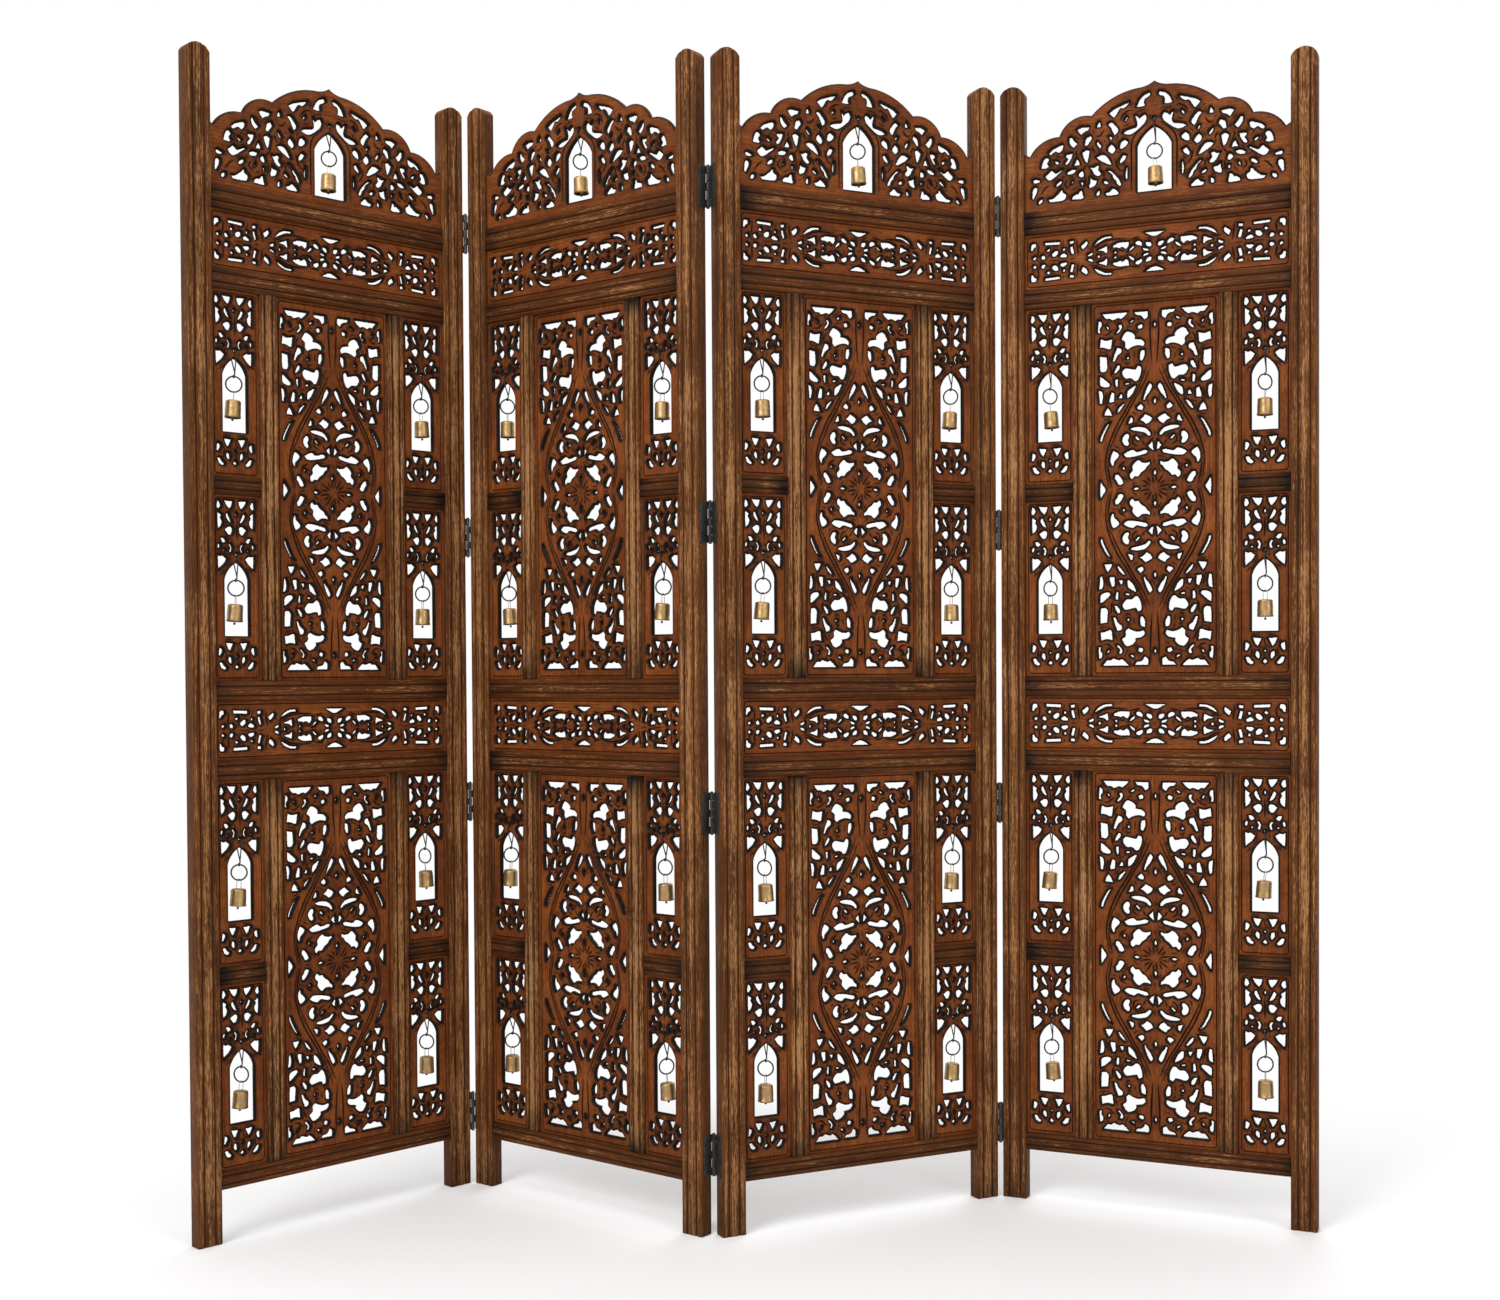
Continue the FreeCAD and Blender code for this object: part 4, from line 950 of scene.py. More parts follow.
class Face:
    """The points (u, z) of a carved face while it is laid out, how deep each lies and how dark it is painted,
    for burnt stain and for painted shade near cuts and in grooves.
    """

    def __init__(self):
        self.points = []
        self.depth = []
        self.hollow = []

    def add(self, point, depth, hollow):
        """Adds a point and gives its number."""
        self.points.append(tuple(point))
        self.depth.append(depth)
        self.hollow.append(hollow)
        return len(self.points) - 1

    def engrave(self, run, cut, tree, closed):
        """Adds the bottom and the two lips of an engraved line, and gives the edges along them."""
        if closed:
            side = outward(run) * cut.half_width
            swell = np.ones(len(run))
        else:
            heading = unit(np.gradient(run, axis=0))
            side = np.stack([-heading[:, 1], heading[:, 0]], 1) * cut.half_width
            swell = np.sqrt(np.sin(np.linspace(0, math.pi, len(run))))
        chains = [[], [], []]
        for i, point in enumerate(run):
            tip = not closed and i in (0, len(run) - 1)
            surface = sunk(gap(point, tree))
            for lane, chain in zip((0, -1, 1), chains):
                if tip and lane:
                    chain.append(chains[0][i])
                    continue
                deeper = 0 if lane else cut.depth * swell[i]
                # The bottom is painted darkest and the lips less: burnt stain and painted shade.
                burn_and_shade = cut.lip_burn if lane or tip else 1.0
                chain.append(self.add(point + side[i] * lane * swell[i], surface + deeper, burn_and_shade))
        edges = []
        for chain in chains:
            edges += list(zip(chain, chain[1:]))
            if closed:
                edges.append((chain[-1], chain[0]))
        return edges

    def fill(self, outline, tree, engraved):
        """Adds staggered rows of points, clear of the cuts and of the engraved lines."""
        engraved_tree = tree_of(engraved)
        low, high = outline.min(0), outline.max(0)
        rows = int((high[1] - low[1]) / ROW_PITCH)
        columns = int((high[0] - low[0]) / GRID_PITCH)
        for row in range(1, rows):
            for column in range(columns + 1):
                point = (low[0] + GRID_PITCH * (column + 0.5 * (row % 2)), low[1] + ROW_PITCH * row)
                distance = gap(point, tree)
                if distance < CLEAR_OF_CUT:
                    continue
                if engraved and gap(point, engraved_tree) < CLEAR_OF_GROOVE:
                    continue
                # Points near a cut are painted darker: burnt stain and painted shade.
                self.add(point, sunk(distance), EDGE_BURN_AND_SHADE * math.exp(-distance / BURN_AND_SHADE_REACH))

    def triangulate(self, edges, rings):
        """Keeps what lies between the outline and the cuts, and gives its triangles and the rings' points."""
        vectors = [Vector(point) for point in self.points]
        flat, _, triangles, sources_of, _, loops_of = delaunay_2d_cdt(vectors, edges, rings, 0, MERGE_WITHIN)
        number_of = {source: number for number, sources in enumerate(sources_of) for source in sources}
        kept = [face for face, loops in zip(triangles, loops_of) if set(loops) == {0}]
        used = sorted({number for face in kept for number in face})
        place = {number: order for order, number in enumerate(used)}
        firsts = [sources_of[number][:1] for number in used]
        self.points = [flat[number] for number in used]
        self.depth = [self.depth[first[0]] if first else SURFACE_SINK for first in firsts]
        self.hollow = [self.hollow[first[0]] if first else EDGE_BURN_AND_SHADE for first in firsts]
        triangles = [tuple(place[number] for number in face) for face in kept]
        return triangles, [[place[number_of[point]] for point in ring] for ring in rings]


def carved_face(loops, strokes, exact, rim):
    """A board's face, its triangles, its walls, the rings' points on the face, and the cuts' search tree."""
    walls, rings, tree = edge_rings(loops, exact)
    face = Face()
    # The rings at the cuts' edges are painted darkest: burnt stain and painted shade.
    ring_points = [[face.add(point, SURFACE_SINK, EDGE_BURN_AND_SHADE) for point in ring] for ring in rings]
    grooves = groove_runs(strokes, tree)
    veins = vein_runs(loops, tree, grooves)
    edges = []
    for runs, cut, closed in ((grooves, GROOVE, False), (veins, VEIN, False), (rim, RIM, True)):
        for run in runs:
            edges += face.engrave(run, cut, tree, closed)
    face.fill(loops[0], tree, [point for run in (*grooves, *veins, *rim) for point in run])
    triangles, ring_points = face.triangulate(edges, ring_points)
    return face, triangles, walls, ring_points, tree


def carved_board(outline, cuts, strokes, exact=0, rim=()):
    """A pierced board with the same carved face on front and back, about its own drawing's origin."""
    loops = [counterclockwise(loop) for loop in [outline] + cuts]
    laid, triangles, walls, rings, tree = carved_face(loops, strokes, exact, rim)
    half = BOARD_THICKNESS / 2
    wear = []
    for point, hollow in zip(laid.points, laid.hollow):
        ridge = 1 - math.exp(-gap(point, tree) / RIDGE_REACH)
        crowd = len(tree.find_range((point.x, point.y, 0), CROWD_RADIUS)) * CROWD_SHARE
        wear.append((hollow, ridge, min(1.0, crowd) ** 2))
    placed = list(zip(laid.points, laid.depth))
    blank = Blank()
    blank.add([(p.x, depth - half, p.y) for p, depth in placed], wear, triangles)
    blank.add([(p.x, half - depth, p.y) for p, depth in placed], wear, [face[::-1] for face in triangles])
    drop = half - SURFACE_SINK - EDGE_DROP
    count = len(placed)
    for number, (loop, ring) in enumerate(zip(walls, rings)):
        start = len(blank.points)
        n = len(loop)
        lines = [(u, -drop, z) for u, z in loop] + [(u, drop, z) for u, z in loop]
        # Walls are painted dark: burnt stain and painted shade.
        blank.add(lines, CUT_WALL_BURN_AND_SHADE if number else OUTLINE_WEAR_AND_SHADE, [])
        for i in range(n):
            j = (i + 1) % n
            wall = (start + i, start + j, start + n + j, start + n + i)
            front = (ring[i], ring[j], start + j, start + i)
            back = (start + n + i, start + n + j, count + ring[j], count + ring[i])
            blank.join([quad if number else quad[::-1] for quad in (wall, front, back)])
    return blank


def edges_of(solid, half_width):
    """Half the width, the foot and the head of a board about its middle."""
    half_height = (solid.high[2] - solid.low[2]) / 2
    return half_width, -half_height, half_height


def centre_board():
    """The tall board between the mullions."""
    edges = edges_of(CARVED[-1], CARVED[-1].high[0])
    cuts = cut_loops(CENTRE_CUTS, FOUR_WAYS) + cut_loops(CENTRE_AXIS_CUTS, UP_AND_DOWN)
    cuts += cut_loops(CENTRE_SIDE_CUTS, LEFT_AND_RIGHT) + dot_loops(CENTRE_DOTS, FOUR_WAYS)
    strokes = mirrored(CENTRE_STROKES, FOUR_WAYS)
    for number in range(2 * FLOWER_PETALS):
        angle = math.pi * (number + 0.5) / FLOWER_PETALS
        inner, outer = FLOWER_LINES[number % 2]
        ray = np.array((math.cos(angle), math.sin(angle)))
        strokes.append(np.linspace(inner, outer, 3)[:, None] * ray)
    return carved_board(rectangle_loop(*edges), cuts, strokes, rim=[rim_loop(*edges)])


def frieze_board():
    """The long board between two rails."""
    edges = edges_of(CARVED[1], CARVED[1].high[0])
    cuts = cut_loops(FRIEZE_CUTS, FOUR_WAYS) + cut_loops(FRIEZE_AXIS_CUTS, UP_AND_DOWN)
    cuts += dot_loops(FRIEZE_DOTS, FOUR_WAYS) + dot_loops(FRIEZE_SIDE_DOTS, LEFT_AND_RIGHT)
    strokes = mirrored(FRIEZE_STROKES, FOUR_WAYS)
    return carved_board(rectangle_loop(*edges), cuts, strokes, exact=len(cuts), rim=[rim_loop(*edges)])


def window_board():
    """A narrow board with its arched window."""
    edges = edges_of(WINDOWED[0], (WINDOWED[0].high[0] - WINDOWED[0].low[0]) / 2)
    hole = ((0, BELL_WINDOW.apex + HANGER_HOLE_ABOVE_APEX), HANGER_HOLE_RADIUS)
    cuts = [window_loop(BELL_WINDOW)] + dot_loops([hole], AS_DRAWN)
    cuts += cut_loops(WINDOW_CUTS, LEFT_AND_RIGHT) + cut_loops(WINDOW_AXIS_CUTS, AS_DRAWN)
    cuts += dot_loops(WINDOW_DOTS, LEFT_AND_RIGHT) + dot_loops(WINDOW_AXIS_DOTS, AS_DRAWN)
    strokes = mirrored(WINDOW_STROKES, LEFT_AND_RIGHT) + mirrored(WINDOW_AXIS_STROKES, AS_DRAWN)
    return carved_board(rectangle_loop(*edges), cuts, strokes, exact=2, rim=[rim_loop(*edges)])


def crest_board():
    """The lobed board above the top rail."""
    hole = ((0, CREST_WINDOW.apex + HANGER_HOLE_ABOVE_APEX), HANGER_HOLE_RADIUS)
    cuts = [window_loop(CREST_WINDOW)] + dot_loops([hole], AS_DRAWN) + cut_loops(CREST_CUTS, LEFT_AND_RIGHT)
    return carved_board(crest_loop(), cuts, mirrored(CREST_STROKES, LEFT_AND_RIGHT), exact=2)


# Bells and hinges

WIRE_SIDES = 8
FINE_WIRE_SIDES = 6
WIRE_DIRT = 0.5
TWIST_DIRT = 0.6
RING_STEPS = 40
RING_TURN = 26.0
RING_SWELL = 1.25
RING_WEAR = (0.5, 0.4, 0.0)
HANGER_RADIUS = 8.35
HANGER_WIRE = 0.95
HANGER_STEPS = 22
STRAND_APART = 0.5
STRAND_RADIUS = 0.62
STEM_ABOVE_RING = 2.2
STEM_LENGTH = 5.0
STEM_TWISTS = 1.5
STEM_STEPS = 26
STEM_INTO_NECK = 0.6
NECK_BEND = 1.7
EYE_RADIUS = 2.0
EYE_STEPS = 16
BELL_SHARP = 40

# The cup's outside, as steps from its rim's radius and from its foot, its waist and its top
CUP_FOOT = ((0, 0), (0.25, 0.5), (0.25, 2.4), (-0.2, 2.9))
CUP_WAIST = -0.35
CUP_TOP = ((-0.7, -4.2), (-0.75, -2.6), (-1.5, -1.1), (-3.0, -0.2))
CUP_HOLE = 2.0
CUP_HOLE_INSIDE = 0.6
CUP_CROWN_HEIGHT = 2
CUP_SIDES = 48
CUP_WALL = 0.9
CUP_SWELL = 1.02
CUP_TILT = 5.0
CUP_CROWN_RADIUS = 4
# Waves of hammered unevenness: height, waves round the cup and turn with height
CUP_WAVES = ((0.12, 3, 1), (0.1, 5, -2))
CUP_EDGE_DIRT = 0.85
CUP_FOOT_DIRT_REACH = 2.2
CUP_TOP_DIRT_REACH = 2.0
SEAM_LAP = 0.35
SEAM_ANGLE = 0.9
SEAM_FROM_FOOT = 2.5
SEAM_FROM_TOP = 1.5
BAIL_WIRE = 0.55
BAIL_FROM_RIM = 8.0
BAIL_SHARE = 0.75
BAIL_STEPS = 11
BAIL_INTO_CUP = 0.4
BAIL_BELOW_TOP = 0.6
BAIL_DIRT = 0.1
CLAPPER_ROD = 0.6
CLAPPER_ROD_INSET = 1.5
CLAPPER_ROD_DIRT = 0.3
CLAPPER_BALL = 3.5
CLAPPER_BALL_UP = 4.0
CLAPPER_BEAD = 1.9
BALL_STEPS = 9
BALL_SIDES = 16
BALL_FLAT = 0.12
BEAD_SIDES = 12
BEAD_FLAT = 0.15

HINGE_SHARP = 35
PIN_RADIUS = 1.5
PIN_HEAD = ((2.0, 1.2), (2.4, 0.8), (2.4, 0))
PIN_SIDES = 20
PIN_DIRT = 0.1
KNUCKLES = 5
KNUCKLE_GAP = 0.25
KNUCKLE_EASE = 0.4
KNUCKLE_SIDES = 24
KNUCKLE_DIRT = 0.15
SCREW_RADIUS = 2.6
SCREW_SLOT = 0.8
SCREW_PLACES = ((0.16, 0.42), (0.5, 0.6), (0.84, 0.42))
SCREW_LEVELS = ((1.0, 0.0), (0.92, 0.25), (0.6, 0.45))
SCREW_ARC_POINTS = 9
SCREW_WEAR = (0.1, 0.8, 0.0)
LEAF_THICKNESS = 1.5
LEAF_BEVEL = 0.5
LEAF_DIRT = 0.2
LEAF_FROM_KNUCKLE = 0.3
STRAP_BEVEL = 0.3
STRAP_LAP = 1.5
PLATE_CORNER = 2.0
PLATE_CORNER_SHARE = 0.3
PLATE_RING = 8


def turned_about(points, pivot, axis, degrees):
    """Points turned about an axis through a pivot."""
    turn = np.array(Matrix.Rotation(math.radians(degrees), 3, axis))
    return (np.array(points) - pivot) @ turn.T + pivot


def evenly_worn(shape, hollow):
    """A shape's points, an even wear and its faces."""
    points, faces = shape
    return points, (hollow, 0.5, 0.0), faces


def hanger_wires(blank, ring_top):
    """The wire round the bridge, its twisted stem and its eye, about the swing axis.

    The neck is bent a little to one side, as wire twisted by hand is.
    """
    foot = ring_top + STEM_ABOVE_RING
    neck = foot + STEM_LENGTH
    lean = math.asin(HANGER_RADIUS / -neck)
    angles = np.linspace(-lean, math.pi + lean, HANGER_STEPS)
    loop = [(0, -HANGER_RADIUS * math.cos(a), HANGER_RADIUS * math.sin(a)) for a in angles]
    loop = [(NECK_BEND, -STRAND_APART, neck)] + loop + [(NECK_BEND, STRAND_APART, neck)]
    blank.add(*evenly_worn(tube(loop, HANGER_WIRE, WIRE_SIDES, (1, 0, 0)), WIRE_DIRT), 0)
    for half in (0, math.pi):
        twist = []
        for t in np.linspace(0, 1, STEM_STEPS):
            angle = half + math.tau * STEM_TWISTS * t
            along = neck + STEM_INTO_NECK + (foot - neck - STEM_INTO_NECK) * t
            u, v = STRAND_RADIUS * math.cos(angle), STRAND_RADIUS * math.sin(angle)
            twist.append((NECK_BEND + u, v, along))
        blank.add(*evenly_worn(tube(twist, STRAND_RADIUS, FINE_WIRE_SIDES, (0, 0, 1)), TWIST_DIRT), 0)
    angles = np.linspace(0, math.tau, EYE_STEPS + 1)[:-1]
    eye = [(0, EYE_RADIUS * math.cos(a), ring_top + EYE_RADIUS * math.sin(a)) for a in angles]
    blank.add(*evenly_worn(tube(eye, HANGER_WIRE, WIRE_SIDES, (1, 0, 0), True), WIRE_DIRT), 0)


def bell_blank(chance, facing):
    """One bell about its swing axis, with its ring and its cup each hanging a little their own way."""
    pivot = (0, 0, JOINTS["swing_1_crest"]["pos_m"][2] / MM)
    _, ring, bail, cup, clapper = (Solid(solid.low - pivot, solid.high - pivot) for solid in BELL)
    blank = Blank()
    wire = float(ring.high[1] - ring.low[1]) / 2
    ring_radius = float(ring.high[0] - ring.low[0]) / 2 - wire
    ring_middle = float(ring.high[2] + ring.low[2]) / 2
    hanger_wires(blank, ring_middle + ring_radius)
    circle_points = [
        (ring_radius * math.cos(a), 0, ring_middle + ring_radius * math.sin(a))
        for a in np.linspace(0, math.tau, RING_STEPS + 1)[:-1]
    ]
    points, faces = tube(circle_points, wire * RING_SWELL, WIRE_SIDES, (0, 1, 0), True)
    points = turned_about(points, (0, 0, ring_middle), "Z", facing + chance.uniform(-RING_TURN, RING_TURN))
    blank.add(points, RING_WEAR, faces, 0)
    rim = CUP_SWELL * float(cup.high[0] - cup.low[0]) / 2
    bail_top = float(bail.high[2])
    hung = bell_cup(float(cup.high[2]), float(cup.low[2]), rim, float(clapper.low[2]), bail_top)
    yaw = chance.uniform(0, 360)
    tilt = chance.uniform(-CUP_TILT, CUP_TILT)
    for points, wear, faces, slot in hung:
        points = turned_about(points, (0, 0, 0), "Z", yaw)
        points = turned_about(points, (0, 0, bail_top), "Y", tilt)
        blank.add(points, wear, faces, slot)
    return blank


def bell_cup(top, foot, rim, tail, bail_top):
    """The bail, cup and clapper as lists of points, wear, faces and finish."""
    outer = [(rim + step, foot + rise) for step, rise in CUP_FOOT]
    outer += [(rim + CUP_WAIST, foot + (top - foot) * 0.5)]
    outer += [(rim + step, top + rise) for step, rise in CUP_TOP] + [(CUP_HOLE, top)]
    inner = [(rim - CUP_WALL, foot)]
    for r, z in outer[len(CUP_FOOT) - 1 :]:
        under = CUP_WALL if z > top - CUP_CROWN_HEIGHT else 0
        inner.append((max(r - CUP_WALL, CUP_HOLE_INSIDE), z - under))
    points, faces = lathe(outer + inner[::-1], CUP_SIDES, closed=True)
    shaped = []
    wear = []
    for index, (x, y, z) in enumerate(points):
        radius = math.hypot(x, y)
        angle = math.atan2(y, x)
        inside = index >= len(outer) * CUP_SIDES
        swell = sum(rise * math.sin(waves * angle + turn * z) for rise, waves, turn in CUP_WAVES)
        on_seam = z - foot > SEAM_FROM_FOOT and z < top - SEAM_FROM_TOP and 0 <= angle < SEAM_ANGLE
        if on_seam and not inside:
            swell += SEAM_LAP * (1 - angle / SEAM_ANGLE)
        scale = (radius + swell) / radius if radius > CUP_CROWN_RADIUS else 1.0
        shaped.append((x * scale, y * scale, z))
        low_dirt = math.exp(-(z - foot) / CUP_FOOT_DIRT_REACH)
        high_dirt = math.exp(-(top - z) / CUP_TOP_DIRT_REACH)
        wear.append((1.0 if inside else CUP_EDGE_DIRT * max(low_dirt, high_dirt), 0.5, 0.0))
    half = (rim - BAIL_FROM_RIM) * BAIL_SHARE
    angles = np.linspace(0, math.pi, BAIL_STEPS)
    bow = [(-half * math.cos(a), 0, bail_top - half + (half - BAIL_BELOW_TOP) * math.sin(a)) for a in angles]
    bail = [(-half, 0, top - BAIL_INTO_CUP)] + bow + [(half, 0, top - BAIL_INTO_CUP)]
    rod = [(CLAPPER_ROD, tail + CLAPPER_ROD_INSET), (CLAPPER_ROD, top - CLAPPER_ROD_INSET)]
    ball = ball_profile(CLAPPER_BALL, foot + CLAPPER_BALL_UP, BALL_FLAT)
    bead = ball_profile(CLAPPER_BEAD, tail + CLAPPER_BEAD, BEAD_FLAT)
    return [
        (shaped, wear, faces, 1),
        (*evenly_worn(tube(bail, BAIL_WIRE, FINE_WIRE_SIDES, (0, 1, 0)), BAIL_DIRT), 2),
        (*evenly_worn(lathe(rod, WIRE_SIDES), CLAPPER_ROD_DIRT), 2),
        (*evenly_worn(lathe(ball, BALL_SIDES), WIRE_DIRT), 1),
        (*evenly_worn(lathe(bead, BEAD_SIDES), WIRE_DIRT), 0),
    ]


def ball_profile(radius, middle, flat_angle):
    """A ball's profile for the lathe, flat a little at its two ends."""
    angles = np.linspace(flat_angle, math.pi - flat_angle, BALL_STEPS)
    return [(radius * math.sin(a), middle - radius * math.cos(a)) for a in angles]


def rounded_plate(u_range, v_range, z_range, bevel):
    """A thin plate with its long edges and corners eased."""
    (u0, u1), (v0, v1), (z0, z1) = u_range, v_range, z_range
    round_off = min(PLATE_CORNER, PLATE_CORNER_SHARE * (v1 - v0), PLATE_CORNER_SHARE * (z1 - z0))
    rings = []
    for u, inset in ((u0, bevel), (u0 + bevel / 2, 0), (u1 - bevel / 2, 0), (u1, bevel)):
        for v, z, dv, dz in ((v0, z0, 1, 1), (v1, z0, -1, 1), (v1, z1, -1, -1), (v0, z1, 1, -1)):
            corner = round_off + inset
            upright = (u, v + dv * inset, z + dz * corner)
            lying = (u, v + dv * corner, z + dz * inset)
            rings += [upright, lying] if dv * dz > 0 else [lying, upright]
    faces = []
    for start in range(0, len(rings) - PLATE_RING, PLATE_RING):
        faces += bridge(PLATE_RING, start, start + PLATE_RING)
    faces.append(tuple(reversed(range(PLATE_RING))))
    faces.append(tuple(range(len(rings) - PLATE_RING, len(rings))))
    return rings, faces


def knuckle_profile(radius, low, high):
    """A short barrel with eased ends."""
    small = radius - KNUCKLE_EASE
    return [(small, low), (radius, low + KNUCKLE_EASE), (radius, high - KNUCKLE_EASE), (small, high)]


def screw_halves(middle, side):
    """The two halves of a slotted screw head that stands a little proud of a leaf, facing along u."""
    count = SCREW_ARC_POINTS
    faces = []
    for number in range(len(SCREW_LEVELS) - 1):
        faces += bridge(count, number * count, (number + 1) * count, flip=side < 0)
    foot = tuple(range(count))
    crown = tuple(index + (len(SCREW_LEVELS) - 1) * count for index in foot)
    faces += [foot[::-1], crown] if side > 0 else [foot, crown[::-1]]
    for half_turn in (0, math.pi):
        points = []
        for share, height in SCREW_LEVELS:
            radius = SCREW_RADIUS * share
            start = math.asin(SCREW_SLOT / 2 / radius)
            for angle in half_turn + np.linspace(start, math.pi - start, count):
                offset = (side * height, radius * math.cos(angle), radius * math.sin(angle))
                points.append(np.add(middle, offset))
        yield points, faces


def hinge_leaves(panel):
    """The pivot of each hinge leaf on one panel's edges, and its leaf, knuckles, pin and screws about it."""
    inverse = panel_place(panel).inverted()
    number = PANELS.index(panel)
    edge_u = HALF_OPENING + float(STILE.high[0] - STILE.low[0])
    thickness = STILE.high[1] - STILE.low[1]
    solids = solids_of(panel, "hinges")
    for fold, side in ((number - 1, -1), (number, 1)):
        if not 0 <= fold < len(FOLDS):
            continue
        pivot = inverse @ Vector(JOINTS[FOLDS[fold]]["pos_m"]) / MM
        near = [solid for solid in solids if solid.low[0] * side > 0]
        leaves = [solid for solid in near if solid.high[1] - solid.low[1] > thickness / 2]
        for leaf in sorted(leaves, key=lambda solid: solid.low[2]):
            pivot.z = float(leaf.low[2])
            yield pivot.copy(), hinge_leaf(leaf, pivot, side, edge_u)


def hinge_leaf(leaf, pivot, side, edge_u):
    """A leaf on a stile's edge with its knuckles and screws, and the pin where the leaf carries it."""
    blank = Blank()
    face = math.copysign(1, pivot.y)
    height = float(leaf.high[2] - leaf.low[2])
    far, near = sorted((float(v) - pivot.y for v in (leaf.low[1], leaf.high[1])), key=abs, reverse=True)
    radius = abs(near)
    plate_u = sorted((side * edge_u - pivot.x, side * (edge_u + LEAF_THICKNESS) - pivot.x))
    plate_v = sorted((-face * (radius + LEAF_FROM_KNUCKLE), far))
    blank.add(*evenly_worn(rounded_plate(plate_u, plate_v, (0, height), LEAF_BEVEL), LEAF_DIRT))
    slot = height / KNUCKLES
    carries_pin = side > 0
    for number in range(0 if carries_pin else 1, KNUCKLES, 2):
        low, high = number * slot + KNUCKLE_GAP, (number + 1) * slot - KNUCKLE_GAP
        blank.add(*evenly_worn(lathe(knuckle_profile(radius, low, high), KNUCKLE_SIDES), KNUCKLE_DIRT))
        strap_v = sorted((0, -face * (radius + STRAP_LAP)))
        blank.add(*evenly_worn(rounded_plate(plate_u, strap_v, (low, high), STRAP_BEVEL), LEAF_DIRT))
    if carries_pin:
        pin = [(r, -beyond) for r, beyond in PIN_HEAD] + [(PIN_RADIUS, 0), (PIN_RADIUS, height)]
        pin += [(r, height + beyond) for r, beyond in reversed(PIN_HEAD)]
        blank.add(*evenly_worn(lathe(pin, PIN_SIDES), PIN_DIRT))
    for share, shift in SCREW_PLACES:
        middle = (
            side * (edge_u + LEAF_THICKNESS) - pivot.x,
            plate_v[0] + (plate_v[1] - plate_v[0]) * shift,
            height * share,
        )
        for points, faces in screw_halves(middle, side):
            blank.add(points, SCREW_WEAR, faces, 1)
    return blank


# Sizes, colours and light that a user would change


def millimetres(name, about, default):
    """A length property with its default in millimetres."""
    return bpy.props.FloatProperty(
        name=name, description=about, default=default * MM, min=0, unit="LENGTH", precision=4
    )


def power(name, about, default):
    """A lamp's power property, in watts."""
    return bpy.props.FloatProperty(name=name, description=about, default=default, min=0, unit="POWER")


def colour(name, about, default):
    """A colour property in linear red, green and blue."""
    return bpy.props.FloatVectorProperty(
        name=name, description=about, default=default, subtype="COLOR", size=3, min=0, max=1
    )


class DividerSizes(bpy.types.PropertyGroup):
    edge_round: millimetres("Edge round", "Radius of a bar's long edges", 2.5)
    reed_groove: millimetres("Reed groove", "Width of the grooves between reeds", 3.0)
    reed_depth: millimetres("Reed depth", "Depth of the grooves between reeds", 2.2)
    reed_crown: millimetres("Reed crown", "How far a reed swells from its lips", 0.6)
    end_bevel: millimetres("End bevel", "Easing at a bar's ends", 0.7)
    arch_rise: millimetres("Stile arch", "Rise of a stile's rounded top", 13.0)
    centre_reed: bpy.props.FloatProperty(
        name="Centre reed",
        description="Share of a bar's width between its two grooves",
        default=0.45,
        min=0,
        max=1,
        subtype="FACTOR",
    )


class DividerColours(bpy.types.PropertyGroup):
    # Burnt wood also paints the shade in grooves, cut edges and cut walls.
    burnt: colour("Burnt and shaded wood", "Grooves, cut walls and sooty joints", (0.012, 0.0065, 0.004))
    brown: colour("Frame brown", "Oiled frame timber", (0.185, 0.062, 0.017))
    dark_brown: colour("Frame dark brown", "Dark bands in the frame timber", (0.028, 0.0105, 0.004))
    rail_brown: colour("Rail brown", "Oiled timber of the rails", (0.15, 0.045, 0.0115))
    # Rubbed gold also paints highlights on the bars' edges and reed crowns.
    gold: colour("Rubbed and highlighted gold", "Fibres rubbed bare on the reeds", (0.46, 0.232, 0.092))
    red_brown: colour("Carved red brown", "Stain on the carved boards", (0.225, 0.06, 0.013))
    deep_red: colour("Carved deep red", "Darker stain on the carved boards", (0.066, 0.018, 0.0065))
    crowded: colour("Crowded carving", "Stain gathered between close cuts", (0.045, 0.0125, 0.0055))
    orange: colour("Carved orange", "Stain worn thin on broad carved places", (0.31, 0.098, 0.0245))
    brass: colour("Antique brass", "Bell cups", (0.43, 0.275, 0.122))
    patina: colour("Brass patina", "Tarnish on the bell cups", (0.15, 0.078, 0.028))
    iron: colour("Black iron", "Hinges, hangers and rings", (0.016, 0.014, 0.013))
    worn_iron: colour("Worn iron", "Rubbed places on the iron", (0.06, 0.054, 0.05))
    wire: colour("Bright wire", "Bails and clapper rods", (0.55, 0.5, 0.42))
    floor: colour("Floor", "Studio floor", (0.96, 0.96, 0.96))


class DividerLight(bpy.types.PropertyGroup):
    world: bpy.props.FloatProperty(
        name="World", description="Strength of the even fill light", default=0.42, min=0
    )
    key: power("Key lamp", "Main soft lamp", 130.0)
    fill: power("Fill lamp", "Opposite soft lamp", 45.0)
    top: power("Top lamp", "Soft lamp over the floor", 105.0)
    back: power("Back lamp", "Soft lamp behind the screen", 70.0)


# Materials

WOOD_SHEEN = 0.06
WOOD_ROUGH = 0.42
WOOD_ROUGH_SPREAD = 0.14
WOOD_BUMP = {"Strength": 0.45, "Distance": 0.0004}
RUB_STRENGTH = 0.75
METAL_DIRT = 0.95
METAL_ROUGH_SPREAD = 0.25
METAL_BUMP = {"Strength": 0.25, "Distance": 0.0002}

